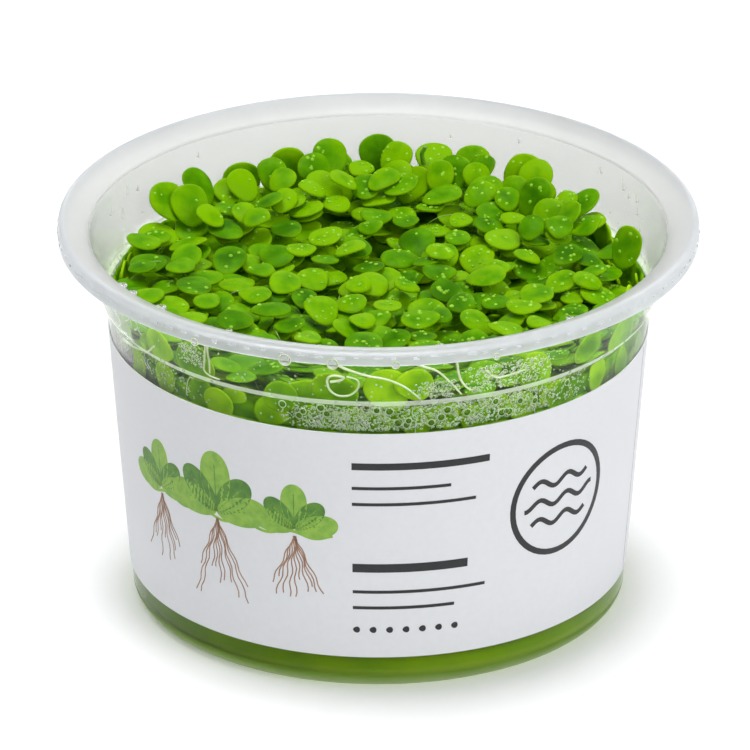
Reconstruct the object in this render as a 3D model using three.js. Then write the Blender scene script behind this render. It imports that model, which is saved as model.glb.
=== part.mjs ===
// Tissue culture giant duckweed in its clear tub, in millimetres, +Z up.
// The origin is the middle of the tub's flat underside, which rests on the table; -Y is the front.
// The tub holds nutrient liquid, a mat of crowded fronds on it, and the colonies that lie on the mat.
import * as THREE from "three";

// Tub sizes: a thin moulded cup with a sloping flange and a hanging skirt for its lip
const TUB_HEIGHT = 62.8;
const TUB_SIDES = 48;
const WALL = 0.7;
const FLOOR = 0.8;
const LIP_RADIUS = 50;
const SKIRT_HEIGHT = 2.9;
const MOUTH_RADIUS = 45.1;
const MOUTH_HEIGHT = TUB_HEIGHT - 1.8;
const SHOULDER_HEIGHT = TUB_HEIGHT - 12.4;
const SHOULDER_RADIUS = 43.1;
const SHOULDER_STEP = 0.7;
const BODY_RADIUS = 38.75;
const CORNER_RADIUS = 2.5;

// The label wraps the tub below the shoulder, with its two ends nearly meeting at the back
const LABEL_TOP = TUB_HEIGHT - 17.7;
const LABEL_BOTTOM = TUB_HEIGHT - 57;
const LABEL_THICKNESS = 0.4;
const LABEL_SEAM = 1.2;

// Filling: gaps keep neighbouring solids apart
const GAP = 0.3;
const LIQUID_TOP = 42.7;
const MAT_BOTTOM = LIQUID_TOP + GAP;
const MAT_LEVEL = 49;
const MAT_LUMP = 0.5;
const MAT_RINGS = 7;
const MAT_SIDES = 36;

// Fronds: obovate lens shapes, widest towards the tip
const FROND_LENGTH = [5.3, 6.9];
const FROND_WIDTH_SHARE = [0.78, 0.92];
const FROND_TAPER = 0.13;
const FROND_EDGE = 0.18;
const FROND_CROWN = 0.55;
const CROWN_SHARE = 0.56; // how far along the frond its crown is
const RIM_POINTS = 8;
const NOTCH_TURN = [0.45, 1.6]; // turns of the outline between which neighbouring fronds part, in radians

// Colonies on the mat are spread like the seeds of a sunflower head
const COLONY_COUNT = 46;
const COLONY_SPREAD = 39;
const GOLDEN_ANGLE = Math.PI * (3 - Math.sqrt(5));
const COLONY_FRONDS = [2.1, 4.3];
const PITCH = [-6, 26];
const ROLL = 14;
const LEAN = 9; // the heap lies with its colonies leaning a little to the front
const TURNS_TRIED = 6;
const REST_GAP = 0.4;
const REACH = 14; // colonies further apart than this can't touch
const SEED = 275;

// Colonies that stand against the back wall: bearing around the tub, distance from the axis, tilt of
// the leading frond, and tilt of the second frond at its foot if there is one
const STANDING = [
  { bearing: 150, radius: 38.6, pitch: 36 },
  { bearing: 123, radius: 39.2, pitch: 66 },
  { bearing: 111, radius: 39.4, pitch: 70 },
  { bearing: 100, radius: 36.4, pitch: 38 },
  { bearing: 90, radius: 39.4, pitch: 60 },
  { bearing: 67, radius: 39, pitch: 42 },
  { bearing: 54, radius: 39.2, pitch: 55 },
  { bearing: 8, radius: 39, pitch: 64, foot: 12 },
];
const STANDING_LENGTH = [6.8, 7.6];
const FOOT_TURN = 180;

const radians = THREE.MathUtils.degToRad;

const COLOURS = {
  tub: { color: 0xe4e8e6, roughness: 0.25, metalness: 0 },
  label: { color: 0xe6e8ec, roughness: 0.55, metalness: 0 },
  liquid: { color: 0x9fae5a, roughness: 0.1, metalness: 0 },
  mat: { color: 0x3f7d10, roughness: 0.5, metalness: 0 },
  frond: { color: 0x6cb31a, roughness: 0.35, metalness: 0 },
};

const duckweed = new THREE.Group();

function addPart(name, geometry, finish) {
  const mesh = new THREE.Mesh(geometry, new THREE.MeshStandardMaterial(COLOURS[finish]));
  mesh.name = name;
  duckweed.add(mesh);
}

// Radius of the tub's outer face at a height above the corner
function outerRadius(z) {
  if (z < SHOULDER_HEIGHT) {
    const share = (z - CORNER_RADIUS) / (SHOULDER_HEIGHT - CORNER_RADIUS);
    return BODY_RADIUS + (SHOULDER_RADIUS - SHOULDER_STEP - BODY_RADIUS) * Math.max(share, 0);
  }
  const share = (z - SHOULDER_HEIGHT) / (MOUTH_HEIGHT - SHOULDER_HEIGHT);
  return SHOULDER_RADIUS + (MOUTH_RADIUS + WALL - SHOULDER_RADIUS) * Math.min(share, 1);
}

// Points of the rounded bottom corner, from the flat underside up to the wall
function cornerArc(radius, centreRadius, centreHeight, steps = 3) {
  const points = [];
  for (let i = 0; i <= steps; i++) {
    const turn = (i / steps) * (Math.PI / 2);
    const r = centreRadius + radius * Math.sin(turn);
    points.push(new THREE.Vector2(r, centreHeight - radius * Math.cos(turn)));
  }
  return points;
}

// A lathe turns about Y, so the finished solid is stood up onto Z
function turned(profile, sides) {
  return new THREE.LatheGeometry(profile, sides).rotateX(Math.PI / 2);
}

function makeTub() {
  const flat = BODY_RADIUS - CORNER_RADIUS;
  const skirtBottom = TUB_HEIGHT - SKIRT_HEIGHT;
  const outer = [
    [SHOULDER_RADIUS - SHOULDER_STEP, SHOULDER_HEIGHT - 0.4],
    [SHOULDER_RADIUS, SHOULDER_HEIGHT + 0.2],
    [outerRadius(MOUTH_HEIGHT - 1), MOUTH_HEIGHT - 1],
    [MOUTH_RADIUS + 1.2, MOUTH_HEIGHT - 0.4],
    [LIP_RADIUS - 1.5, TUB_HEIGHT - 0.9],
    [LIP_RADIUS - WALL, TUB_HEIGHT - 1.4],
    [LIP_RADIUS - WALL, skirtBottom],
    [LIP_RADIUS, skirtBottom],
    [LIP_RADIUS, TUB_HEIGHT - 0.8],
    [LIP_RADIUS - 0.3, TUB_HEIGHT - 0.2],
    [LIP_RADIUS - 0.9, TUB_HEIGHT],
    [MOUTH_RADIUS, MOUTH_HEIGHT],
  ];
  const inner = [
    [SHOULDER_RADIUS - WALL, SHOULDER_HEIGHT + 0.4],
    [SHOULDER_RADIUS - SHOULDER_STEP - WALL, SHOULDER_HEIGHT - 0.2],
  ];
  const profile = [
    new THREE.Vector2(0, 0),
    ...cornerArc(CORNER_RADIUS, flat, CORNER_RADIUS),
    ...[...outer, ...inner].map(([r, z]) => new THREE.Vector2(r, z)),
    ...cornerArc(CORNER_RADIUS - FLOOR, flat, CORNER_RADIUS).reverse(),
    new THREE.Vector2(0, FLOOR),
  ];
  addPart("tub", turned(profile, TUB_SIDES), "tub");
}

// A closed strip: a section carried part of the way around the axis, with both ends capped
function wrapped(section, start, end, steps) {
  const corners = section.length;
  const positions = [];
  const index = [];
  for (let i = 0; i <= steps; i++) {
    const turn = start + ((end - start) * i) / steps;
    for (const [r, z] of section) positions.push(r * Math.cos(turn), r * Math.sin(turn), z);
  }
  for (let i = 0; i < steps; i++) {
    for (let k = 0; k < corners; k++) {
      const a = i * corners + k;
      const b = i * corners + ((k + 1) % corners);
      index.push(a, a + corners, b, b, a + corners, b + corners);
    }
  }
  const last = steps * corners;
  for (let k = 1; k < corners - 1; k++) {
    index.push(0, k, k + 1, last, last + k + 1, last + k);
  }
  const strip = new THREE.BufferGeometry();
  strip.setAttribute("position", new THREE.Float32BufferAttribute(positions, 3));
  strip.setIndex(index);
  return strip;
}

function makeLabel() {
  const low = outerRadius(LABEL_BOTTOM) + GAP;
  const high = outerRadius(LABEL_TOP) + GAP;
  const section = [
    [low, LABEL_BOTTOM],
    [low + LABEL_THICKNESS, LABEL_BOTTOM],
    [high + LABEL_THICKNESS, LABEL_TOP],
    [high, LABEL_TOP],
  ];
  const half = LABEL_SEAM / 2 / high;
  const back = Math.PI / 2;
  addPart("label", wrapped(section, back + half, back + 2 * Math.PI - half, TUB_SIDES), "label");
}

function makeLiquid() {
  const flat = BODY_RADIUS - CORNER_RADIUS;
  const top = outerRadius(LIQUID_TOP) - WALL - GAP;
  const profile = [
    new THREE.Vector2(0, FLOOR + GAP),
    ...cornerArc(CORNER_RADIUS - FLOOR - GAP, flat, CORNER_RADIUS, 2),
    new THREE.Vector2(top, LIQUID_TOP),
    new THREE.Vector2(0, LIQUID_TOP),
  ];
  addPart("nutrient_liquid", turned(profile, TUB_SIDES), "liquid");
}

// Height of the mat's lumpy upper side
function matTop(x, y) {
  const broad = Math.sin(x / 4.3 + 0.8) * Math.cos(y / 3.9);
  return MAT_LEVEL + MAT_LUMP * (broad + Math.sin((x + y) / 6.1));
}

function makeMat() {
  const rimTop = outerRadius(MAT_LEVEL - 1) - WALL - GAP - 0.1;
  const rimBottom = outerRadius(MAT_BOTTOM) - WALL - GAP - 0.1;
  const positions = [0, 0, matTop(0, 0), 0, 0, MAT_BOTTOM];
  const index = [];
  const ringStart = (ring) => 2 + ring * MAT_SIDES;
  for (let ring = 0; ring <= MAT_RINGS; ring++) {
    for (let i = 0; i < MAT_SIDES; i++) {
      const turn = ((i + 0.5 * (ring % 2)) / MAT_SIDES) * 2 * Math.PI;
      const bottom = ring === MAT_RINGS;
      const r = bottom ? rimBottom : (rimTop * (ring + 1)) / MAT_RINGS;
      const x = r * Math.cos(turn);
      const y = r * Math.sin(turn);
      positions.push(x, y, bottom ? MAT_BOTTOM : Math.min(matTop(x, y), SHOULDER_HEIGHT - 0.6));
    }
  }
  for (let i = 0; i < MAT_SIDES; i++) {
    const next = (i + 1) % MAT_SIDES;
    index.push(0, ringStart(0) + i, ringStart(0) + next);
    index.push(1, ringStart(MAT_RINGS) + next, ringStart(MAT_RINGS) + i);
    for (let ring = 0; ring < MAT_RINGS; ring++) {
      const a = ringStart(ring) + i;
      const b = ringStart(ring) + next;
      const c = ringStart(ring + 1) + i;
      const d = ringStart(ring + 1) + next;
      if (ring % 2) index.push(a, c, b, b, c, d);
      else index.push(a, c, d, a, d, b);
    }
  }
  const mat = new THREE.BufferGeometry();
  mat.setAttribute("position", new THREE.Float32BufferAttribute(positions, 3));
  mat.setIndex(index);
  addPart("frond_mat", mat, "mat");
}

// A repeatable stream of numbers from 0 to 1
let state = SEED;
function chance() {
  state = (state * 48271) % 2147483647;
  return state / 2147483647;
}
const between = ([low, high]) => low + (high - low) * chance();

// What stays the same while a frond is turned and set down
function drawFrond(offset, pitch, roll, lengths = FROND_LENGTH) {
  const length = between(lengths);
  return { offset, pitch, roll, length, width: length * between(FROND_WIDTH_SHARE) };
}

// A frond lies in its own plane: along points from its base to its tip, up is its upper side
function poseFrond({ offset, pitch, roll, length, width }, base, first) {
  const heading = first + offset;
  const rise = pitch + LEAN * Math.sin(heading);
  const bank = radians(roll + LEAN * Math.cos(heading));
  const flat = Math.cos(radians(rise));
  const along = new THREE.Vector3(
    Math.cos(heading) * flat,
    Math.sin(heading) * flat,
    Math.sin(radians(rise)),
  );
  const side = new THREE.Vector3(-Math.sin(heading), Math.cos(heading), 0);
  const up = along.clone().cross(side);
  side.applyAxisAngle(along, bank);
  up.applyAxisAngle(along, bank);
  return { base: base.clone(), heading, length, width, along, side, up };
}

// A point of the frond, s along it, t across it and h above its middle plane
function frondPoint(frond, s, t, h) {
  return frond.base
    .clone()
    .addScaledVector(frond.along, s)
    .addScaledVector(frond.side, t)
    .addScaledVector(frond.up, h);
}

// The outline: turn 0 is the base and half a turn is the tip
function outlinePoint(frond, turn) {
  const s = (frond.length / 2) * (1 - Math.cos(turn));
  const t = (frond.width / 2) * Math.sin(turn) * (1 - FROND_TAPER * Math.cos(turn));
  return [s, t];
}

// Points that stand for the whole frond when it is set down: its rim, a middle ring and its centre
function probes(frond) {
  const middle = frond.length / 2;
  const points = [[middle, 0]];
  for (const share of [0.55, 1]) {
    for (let i = 0; i < 12; i++) {
      const [s, t] = outlinePoint(frond, (i / 12) * 2 * Math.PI);
      points.push([middle + (s - middle) * share, t * share]);
    }
  }
  return points;
}

// Height of the frond's middle plane at a place, or null where the frond doesn't reach
function heightAt(frond, x, y) {
  const dx = x - frond.base.x;
  const dy = y - frond.base.y;
  const dz = -(frond.up.x * dx + frond.up.y * dy) / frond.up.z;
  const s = dx * frond.along.x + dy * frond.along.y + dz * frond.along.z;
  const cosine = 1 - (2 * s) / frond.length;
  if (Math.abs(cosine) >= 1) return null;
  const t = dx * frond.side.x + dy * frond.side.y + dz * frond.side.z;
  const half = (frond.width / 2) * Math.sqrt(1 - cosine * cosine) * (1 - FROND_TAPER * cosine);
  return Math.abs(t) <= half + 0.15 ? frond.base.z + dz : null;
}

// How far a colony has to rise to lie clear of the mat and of what already lies there
function liftNeeded(colony, placed) {
  const base = colony[0].base;
  const near = placed.filter((other) => Math.hypot(other.base.x - base.x, other.base.y - base.y) < REACH);
  let lift = -Infinity;
  for (const frond of colony) {
    for (const [s, t] of probes(frond)) {
      const under = frondPoint(frond, s, t, -FROND_EDGE);
      lift = Math.max(lift, matTop(under.x, under.y) + REST_GAP + 0.1 - under.z);
      for (const other of near) {
        const height = heightAt(other, under.x, under.y);
        if (height !== null) lift = Math.max(lift, height + FROND_CROWN / other.up.z + REST_GAP - under.z);
      }
    }
    for (const other of near) {
      for (const [s, t] of probes(other)) {
        const over = frondPoint(other, s, t, FROND_EDGE);
        const height = heightAt(frond, over.x, over.y);
        if (height !== null) lift = Math.max(lift, over.z + REST_GAP + 0.2 - height + FROND_EDGE / frond.up.z);
      }
    }
  }
  return lift;
}

// How far a colony has to move towards the axis to stay inside the wall
function wallExcess(colony) {
  let excess = 0;
  for (const frond of colony) {
    for (const [s, t] of probes(frond)) {
      const point = frondPoint(frond, s, t, 0);
      const room = outerRadius(Math.max(point.z, SHOULDER_HEIGHT)) - WALL - GAP - FROND_CROWN;
      excess = Math.max(excess, Math.hypot(point.x, point.y) - room);
    }
  }
  return excess;
}

// Sets a colony down on the heap, keeping it inside the wall, and returns where it came to lie
function setDown(specs, place, first, placed) {
  const colony = specs.map((spec) => poseFrond(spec, place, first));
  for (let pass = 0; pass < 3; pass++) {
    const { x, y } = colony[0].base;
    const inward = -wallExcess(colony) / Math.hypot(x, y);
    const lift = liftNeeded(colony, placed);
    for (const frond of colony) frond.base.add(new THREE.Vector3(x * inward, y * inward, 0));
    for (const frond of colony) frond.base.z += pass ? Math.max(lift, 0) : lift;
  }
  return colony;
}

// Turn of the outline, to one hand of the frond, where it enters the wedge that the frond has to itself
function partingTurn(frond, halfGap, hand) {
  let [low, high] = NOTCH_TURN;
  for (let i = 0; i < 20; i++) {
    const turn = (low + high) / 2;
    const point = frondPoint(frond, ...outlinePoint(frond, hand * turn), 0).sub(frond.base);
    const ahead = point.x * Math.cos(frond.heading) + point.y * Math.sin(frond.heading);
    const aside = hand * (point.y * Math.cos(frond.heading) - point.x * Math.sin(frond.heading));
    if (Math.atan2(aside, ahead) > halfGap) low = turn;
    else high = turn;
  }
  return high;
}

// The solid of a colony: lens-like fronds that share their growing point and the notches between them
function colonyGeometry(colony) {
  const count = colony.length;
  const positions = [];
  const index = [];
  const upright = new THREE.Vector3(0, 0, 1);
  const addVertex = (point) => positions.push(point.x, point.y, point.z) / 3 - 1;
  const addPair = (point, up) =>
    [FROND_EDGE, -FROND_EDGE].map((h) => addVertex(point.clone().addScaledVector(up, h)));
  const addFace = (a, b, c) => a !== b && b !== c && c !== a && index.push(a, b, c);
  const rimPoint = (frond, turn) => frondPoint(frond, ...outlinePoint(frond, turn), 0);

  const centre = addPair(colony[0].base, count > 1 ? upright : colony[0].up);
  const halfGaps = colony.map((frond, k) => {
    const next = colony[(k + 1) % count].heading - frond.heading;
    return (k === count - 1 ? next + 2 * Math.PI : next) / 2;
  });
  const leftTurn = (k) => (count > 1 ? partingTurn(colony[k], halfGaps[k], 1) : 0);
  const rightTurn = (k) => (count > 1 ? partingTurn(colony[k], halfGaps[(k + count - 1) % count], -1) : 0);
  const notches = colony.map((frond, k) => {
    if (count === 1) return centre;
    const next = (k + 1) % count;
    const near = rimPoint(frond, leftTurn(k));
    const far = rimPoint(colony[next], -rightTurn(next));
    return addPair(near.add(far).multiplyScalar(0.5), upright);
  });
  colony.forEach((frond, k) => {
    const before = (k + count - 1) % count;
    const start = 2 * Math.PI - rightTurn(k);
    const end = leftTurn(k);
    const rim = [notches[before]];
    for (let i = 1; i <= RIM_POINTS; i++) {
      const turn = start + ((end - start) * i) / (RIM_POINTS + 1);
      rim.push(addPair(rimPoint(frond, turn), frond.up));
    }
    rim.push(notches[k]);
    const middle = frond.length * CROWN_SHARE;
    const crown = addVertex(frondPoint(frond, middle, 0, FROND_CROWN));
    const belly = addVertex(frondPoint(frond, middle, 0, -FROND_EDGE));
    addFace(centre[0], rim[0][0], crown);
    addFace(rim[RIM_POINTS + 1][0], centre[0], crown);
    addFace(rim[0][1], centre[1], belly);
    addFace(centre[1], rim[RIM_POINTS + 1][1], belly);
    for (let i = 0; i <= RIM_POINTS; i++) {
      const [topA, lowA] = rim[i];
      const [topB, lowB] = rim[i + 1];
      addFace(topA, topB, crown);
      addFace(lowA, lowB, topB);
      addFace(lowA, topB, topA);
      addFace(lowB, lowA, belly);
    }
  });
  const geometry = new THREE.BufferGeometry();
  geometry.setAttribute("position", new THREE.Float32BufferAttribute(positions, 3));
  geometry.setIndex(index);
  return geometry;
}

// Colonies spread over the mat, each with its fronds fanned around the point they grow from
function lyingColony(number, placed) {
  const radius = COLONY_SPREAD * Math.sqrt((number + 0.6) / COLONY_COUNT);
  const bearing = number * GOLDEN_ANGLE;
  const place = new THREE.Vector3(radius * Math.cos(bearing), radius * Math.sin(bearing), MAT_LEVEL);
  const count = Math.round(between(COLONY_FRONDS));
  const first = chance() * 2 * Math.PI;
  const specs = [];
  for (let i = 0; i < count; i++) {
    const offset = ((i + 0.12 * chance()) / count) * 2 * Math.PI;
    specs.push(drawFrond(offset, between(PITCH), ROLL * (2 * chance() - 1)));
  }
  let lowest = null;
  for (let i = 0; i < TURNS_TRIED; i++) {
    const colony = setDown(specs, place, first + (i / TURNS_TRIED) * 2 * Math.PI, placed);
    if (!lowest || colony[0].base.z < lowest[0].base.z) lowest = colony;
  }
  return lowest;
}

// A standing colony leans back on the wall, on a second frond that slopes forward from its foot
function standingColony({ bearing, radius, pitch, foot }, placed) {
  const turn = radians(bearing);
  const place = new THREE.Vector3(Math.cos(turn), Math.sin(turn), 0).multiplyScalar(radius);
  const specs = [drawFrond(0, pitch, 0, STANDING_LENGTH)];
  if (foot !== undefined) specs.push(drawFrond(radians(FOOT_TURN), foot, 0));
  return setDown(specs, place, radians(90 + (bearing - 90) * 0.6), placed);
}

function makeColonies() {
  const placed = [];
  for (let number = 0; number < COLONY_COUNT; number++) {
    const colony = lyingColony(number, placed);
    placed.push(...colony);
    addPart("colony_" + String(number + 1).padStart(2, "0"), colonyGeometry(colony), "frond");
  }
  STANDING.forEach((place, i) => {
    const colony = standingColony(place, placed);
    placed.push(...colony);
    addPart("standing_colony_" + (i + 1), colonyGeometry(colony), "frond");
  });
}

makeTub();
makeLabel();
makeLiquid();
makeMat();
makeColonies();

export default duckweed;
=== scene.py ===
"""Giant duckweed crowded in its clear culture tub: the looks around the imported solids.

The sizes and the way the colonies are set down repeat the part's source, in millimetres, +Z up.
Meshes are written in metres by MM.
"""

import math

import bpy
import numpy as np
from mathutils import Matrix


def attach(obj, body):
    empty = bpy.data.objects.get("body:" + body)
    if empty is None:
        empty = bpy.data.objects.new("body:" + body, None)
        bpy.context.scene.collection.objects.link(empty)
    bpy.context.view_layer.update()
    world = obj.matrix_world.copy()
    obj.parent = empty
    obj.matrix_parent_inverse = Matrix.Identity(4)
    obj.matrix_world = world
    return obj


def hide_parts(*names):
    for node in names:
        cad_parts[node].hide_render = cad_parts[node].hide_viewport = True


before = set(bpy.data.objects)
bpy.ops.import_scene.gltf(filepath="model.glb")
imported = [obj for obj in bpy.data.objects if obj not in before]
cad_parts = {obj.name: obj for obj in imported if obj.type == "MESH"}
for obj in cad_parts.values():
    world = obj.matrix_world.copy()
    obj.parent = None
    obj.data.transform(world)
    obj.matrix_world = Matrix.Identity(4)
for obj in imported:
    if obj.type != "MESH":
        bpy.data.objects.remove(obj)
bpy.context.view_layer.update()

MM = 0.001
TURN = 2 * math.pi

# Tub sizes
TUB_HEIGHT = 62.8
WALL = 0.7
FLOOR = 0.8
LIP_RADIUS = 50
SKIRT_BOTTOM = TUB_HEIGHT - 2.9
FRONT_WET = 58  # at the front the wall is wet up to here, and clear
BACK_WET = 49.5  # round the sides and the back it is dry and hazy above this
SIDE_WET = 44.5  # and at the left it is fogged down to here
FOG_EDGE = 37.5  # this far to the left of the middle
FOG_FADE = (50.5, 54)  # the fog thins out between these heights
WET_EDGES = (7, 24)  # this far in front of the middle the wet part begins to rise, and has risen
SKIRT_RADIUS = LIP_RADIUS - 0.16
MOUTH_RADIUS = 45.1
MOUTH_HEIGHT = TUB_HEIGHT - 1.8
SHOULDER_HEIGHT = TUB_HEIGHT - 12.4
SHOULDER_RADIUS = 43.1
SHOULDER_STEP = 0.7
RING_BOTTOM = SHOULDER_HEIGHT - 0.5
RING_TOP = SHOULDER_HEIGHT + 0.75
BODY_RADIUS = 38.75
CORNER_RADIUS = 2.5
FOOT_RADIUS = BODY_RADIUS - CORNER_RADIUS
LABEL_TOP = TUB_HEIGHT - 17.7
LABEL_BOTTOM = TUB_HEIGHT - 57
LATHE_SIDES = 224

# Filling
GAP = 0.3
LIQUID_TOP = 42.7
MAT_BOTTOM = LIQUID_TOP + GAP
MAT_LEVEL = 49
MAT_LUMP = 0.5

# Fronds
FROND_LENGTH = (5.3, 6.9)
FROND_WIDTH_SHARE = (0.78, 0.92)
FROND_TAPER = 0.13
FROND_EDGE = 0.18
FROND_CROWN = 0.55
CROWN_SHARE = 0.56

# Colonies
COLONY_COUNT = 46
COLONY_SPREAD = 39
GOLDEN_ANGLE = math.pi * (3 - math.sqrt(5))
COLONY_FRONDS = (2.1, 4.3)
PITCH = (-6, 26)
ROLL = 14
LEAN = 9
TURNS_TRIED = 6
REST_GAP = 0.4
REACH = 14
SEED = 275
STANDING = [
    dict(bearing=150, radius=38.6, pitch=36),
    dict(bearing=123, radius=39.2, pitch=66),
    dict(bearing=111, radius=39.4, pitch=70),
    dict(bearing=100, radius=36.4, pitch=38),
    dict(bearing=90, radius=39.4, pitch=60),
    dict(bearing=67, radius=39, pitch=42),
    dict(bearing=54, radius=39.2, pitch=55),
    dict(bearing=8, radius=39, pitch=64, foot=12),
]
STANDING_LENGTH = (6.8, 7.6)
FOOT_TURN = 180

# Seeds of the random draws
SEEDS = dict(
    lip_marks=29, print=5, tints=11, wall=61, lower=23, back=53, top=37,
    core=3, tide=97, settled=71, roots=17, threads=83, water=41, streaks=41,
)


def outer_radius(z):
    """Radius of the tub's outer face at a height above the corner."""
    if z < SHOULDER_HEIGHT:
        share = (z - CORNER_RADIUS) / (SHOULDER_HEIGHT - CORNER_RADIUS)
        return BODY_RADIUS + (SHOULDER_RADIUS - SHOULDER_STEP - BODY_RADIUS) * max(share, 0)
    share = (z - SHOULDER_HEIGHT) / (MOUTH_HEIGHT - SHOULDER_HEIGHT)
    return SHOULDER_RADIUS + (MOUTH_RADIUS + WALL - SHOULDER_RADIUS) * min(share, 1)


def inner_radius(z):
    """Radius of the tub's inner face."""
    return outer_radius(z) - WALL


# Draws and directions
def draws(name):
    """The seeded random draws for one kind of piece."""
    return np.random.default_rng(SEEDS[name])


def on_circle(radius, turn, z):
    return (radius * math.cos(turn), radius * math.sin(turn), z)


def even_turns(count):
    return np.arange(count) / count * TURN


def unit(vector):
    return vector / np.linalg.norm(vector)


def unit_rows(vectors):
    return vectors / np.linalg.norm(vectors, axis=1)[:, None]


# Meshes
class Pile:
    """Closed shapes, in millimetres, that become one mesh. A look is three numbers for each point."""

    def __init__(self):
        self.points, self.faces, self.looks, self.size = [], [], [], 0

    def add(self, points, faces, looks=None):
        self.points.append(points)
        for group in faces:
            self.faces += (group + self.size).tolist()
        if looks is not None:
            self.looks.append(looks)
        self.size += len(points)

    def piece(self, name, material, slot, nodes=(), zones=(), shadow=True):
        """zones are (material, test), where the test takes a face's middle in millimetres."""
        mesh = bpy.data.meshes.new(name)
        points = np.concatenate(self.points) * MM
        mesh.from_pydata(points.tolist(), [], self.faces)
        mesh.polygons.foreach_set("use_smooth", np.ones(len(mesh.polygons), bool))
        if self.looks:
            looks = mesh.attributes.new("look", "FLOAT_VECTOR", "POINT")
            looks.data.foreach_set("vector", np.concatenate(self.looks).astype(np.float32).ravel())
        mesh.materials.append(material)
        for index, (zone, test) in enumerate(zones, 1):
            mesh.materials.append(zone)
            for face in mesh.polygons:
                if test(face.center / MM):
                    face.material_index = index
        piece = bpy.data.objects.new(name, mesh)
        bpy.context.scene.collection.objects.link(piece)
        piece.visible_shadow = shadow  # clear pieces let the lamps through
        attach(piece, "root")
        if nodes:
            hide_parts(*nodes)
        return piece


def shell_faces(rings, sides):
    """Faces of a closed shape: point 0, then rings around it, then point 1."""
    i = np.arange(sides)
    j = (i + 1) % sides
    start = 2 + np.arange(rings)[:, None] * sides
    a, b = start[:-1] + i, start[:-1] + j
    quads = np.stack([a, a + sides, b + sides, b], -1).reshape(-1, 4)
    last = 2 + (rings - 1) * sides
    caps = [np.stack([0 * i, 2 + i, 2 + j], -1), np.stack([0 * i + 1, last + j, last + i], -1)]
    return [quads, *caps]


def shell_points(first, last, rings):
    return np.concatenate([[first], [last], np.reshape(rings, (-1, 3))])


def loop_faces(count, sides):
    """Faces of a closed loop of sections, each of them with this many sides."""
    i = np.arange(count)[:, None] * sides
    j = (i + sides) % (sides * count)
    k = np.arange(sides)[None]
    n = (k + 1) % sides
    return np.stack([i + k, j + k, j + n, i + n], -1).reshape(-1, 4)


def turned(profile):
    """A closed lathe of (radius, height) points that start and end on the axis."""
    rings = [[on_circle(r, t, z) for t in even_turns(LATHE_SIDES)] for r, z in profile[1:-1]]
    ends = [(0, 0, profile[0][1]), (0, 0, profile[-1][1])]
    return shell_points(*ends, rings), [f[:, ::-1] for f in shell_faces(len(rings), LATHE_SIDES)]


def strip(turns, sections):
    """A closed strip around the axis, through its section of (radius, height) points at each turn."""
    rings = np.array([[on_circle(r, t, z) for r, z in section] for t, section in zip(turns, sections)])
    return shell_points(rings[0].mean(0), rings[-1].mean(0), rings), shell_faces(len(turns), len(sections[0]))


def rounded(profile, radius, steps=3):
    """The profile with each corner but the first and last replaced by a short curve."""
    profile = [np.array(p, float) for p in profile]
    found = [profile[0]]
    for before, corner, after in zip(profile, profile[1:], profile[2:]):
        ends = []
        for other in (before, after):
            away = other - corner
            length = np.linalg.norm(away)
            ends.append(corner + away / length * min(radius, 0.42 * length))
        for k in range(steps + 1):
            s = k / steps
            found.append((1 - s) ** 2 * ends[0] + 2 * s * (1 - s) * corner + s * s * ends[1])
    return [tuple(p) for p in [*found, profile[-1]]]


def tube(path, radius, sides, taper=1.0):
    """A closed round strand along a path, with its far end tapered."""
    path = np.asarray(path, float)
    along = unit_rows(np.gradient(path, axis=0))
    side = unit_rows(np.cross(along, (0.31, 0.17, 0.94)))
    up = np.cross(along, side)
    turns = even_turns(sides)[None, :, None]
    thick = (radius * np.linspace(1, taper, len(path)))[:, None, None]
    rings = path[:, None] + thick * (np.cos(turns) * side[:, None] + np.sin(turns) * up[:, None])
    return shell_points(path[0], path[-1], rings), [f[:, ::-1] for f in shell_faces(len(path), sides)]


def smooth_path(points, steps=8):
    """A curve through the points."""
    p = np.asarray(points, float)
    p = np.concatenate([[2 * p[0] - p[1]], p, [2 * p[-1] - p[-2]]])
    found = []
    for a, b, c, d in zip(p, p[1:], p[2:], p[3:]):
        for k in range(steps):
            s = k / steps
            curve = 2 * b + (c - a) * s + (2 * a - 5 * b + 4 * c - d) * s * s
            found.append((curve + (3 * b - a - 3 * c + d) * s**3) / 2)
    return np.array([*found, p[-2]])


BEAD_SHAPE = [(0.45, 0.92), (0.8, 0.62), (0.97, 0.22), (0.95, -0.05)]


def circle_across(out, sides):
    """The unit vector of a direction, and unit vectors all around it."""
    out = unit(np.asarray(out, float))
    side = unit(np.cross(out, (0.2, 0.31, 0.93) if abs(out[2]) < 0.9 else (1, 0, 0)))
    up = np.cross(out, side)
    turns = even_turns(sides)[:, None]
    return out, np.cos(turns) * side + np.sin(turns) * up


def bead(place, out, radius, height, sides):
    """A drop of water on a surface that faces out."""
    out, rim = circle_across(out, sides)
    rings = [place + radius * r * rim + height * h * out for r, h in BEAD_SHAPE]
    return shell_points(place + height * out, place - 0.04 * out, rings), shell_faces(len(rings), sides)


def ring_shape(place, out, radius, thick, sides, small_sides=4):
    """A small closed ring around a direction."""
    out, rim = circle_across(out, sides)
    small = even_turns(small_sides)[None, :, None]
    points = place + rim[:, None] * (radius + thick * np.cos(small)) + out * thick * np.sin(small)
    return points.reshape(-1, 3), [loop_faces(sides, small_sides)]


# Materials
PLASTIC_IOR = 1.42
WATER_IOR = 1.333


def new_material(name, **values):
    """A material whose shader has these plain values, by socket names with _ for spaces."""
    material = bpy.data.materials.new(name)
    material.use_nodes = True
    shader = material.node_tree.nodes["Principled BSDF"]
    for socket, value in values.items():
        shader.inputs[socket.replace("_", " ")].default_value = value
    return material


def put(node, inputs):
    for name, source in inputs.items():
        if isinstance(source, bpy.types.NodeSocket):
            node.id_data.links.new(source, node.inputs[name])
        else:
            node.inputs[name].default_value = source


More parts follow.
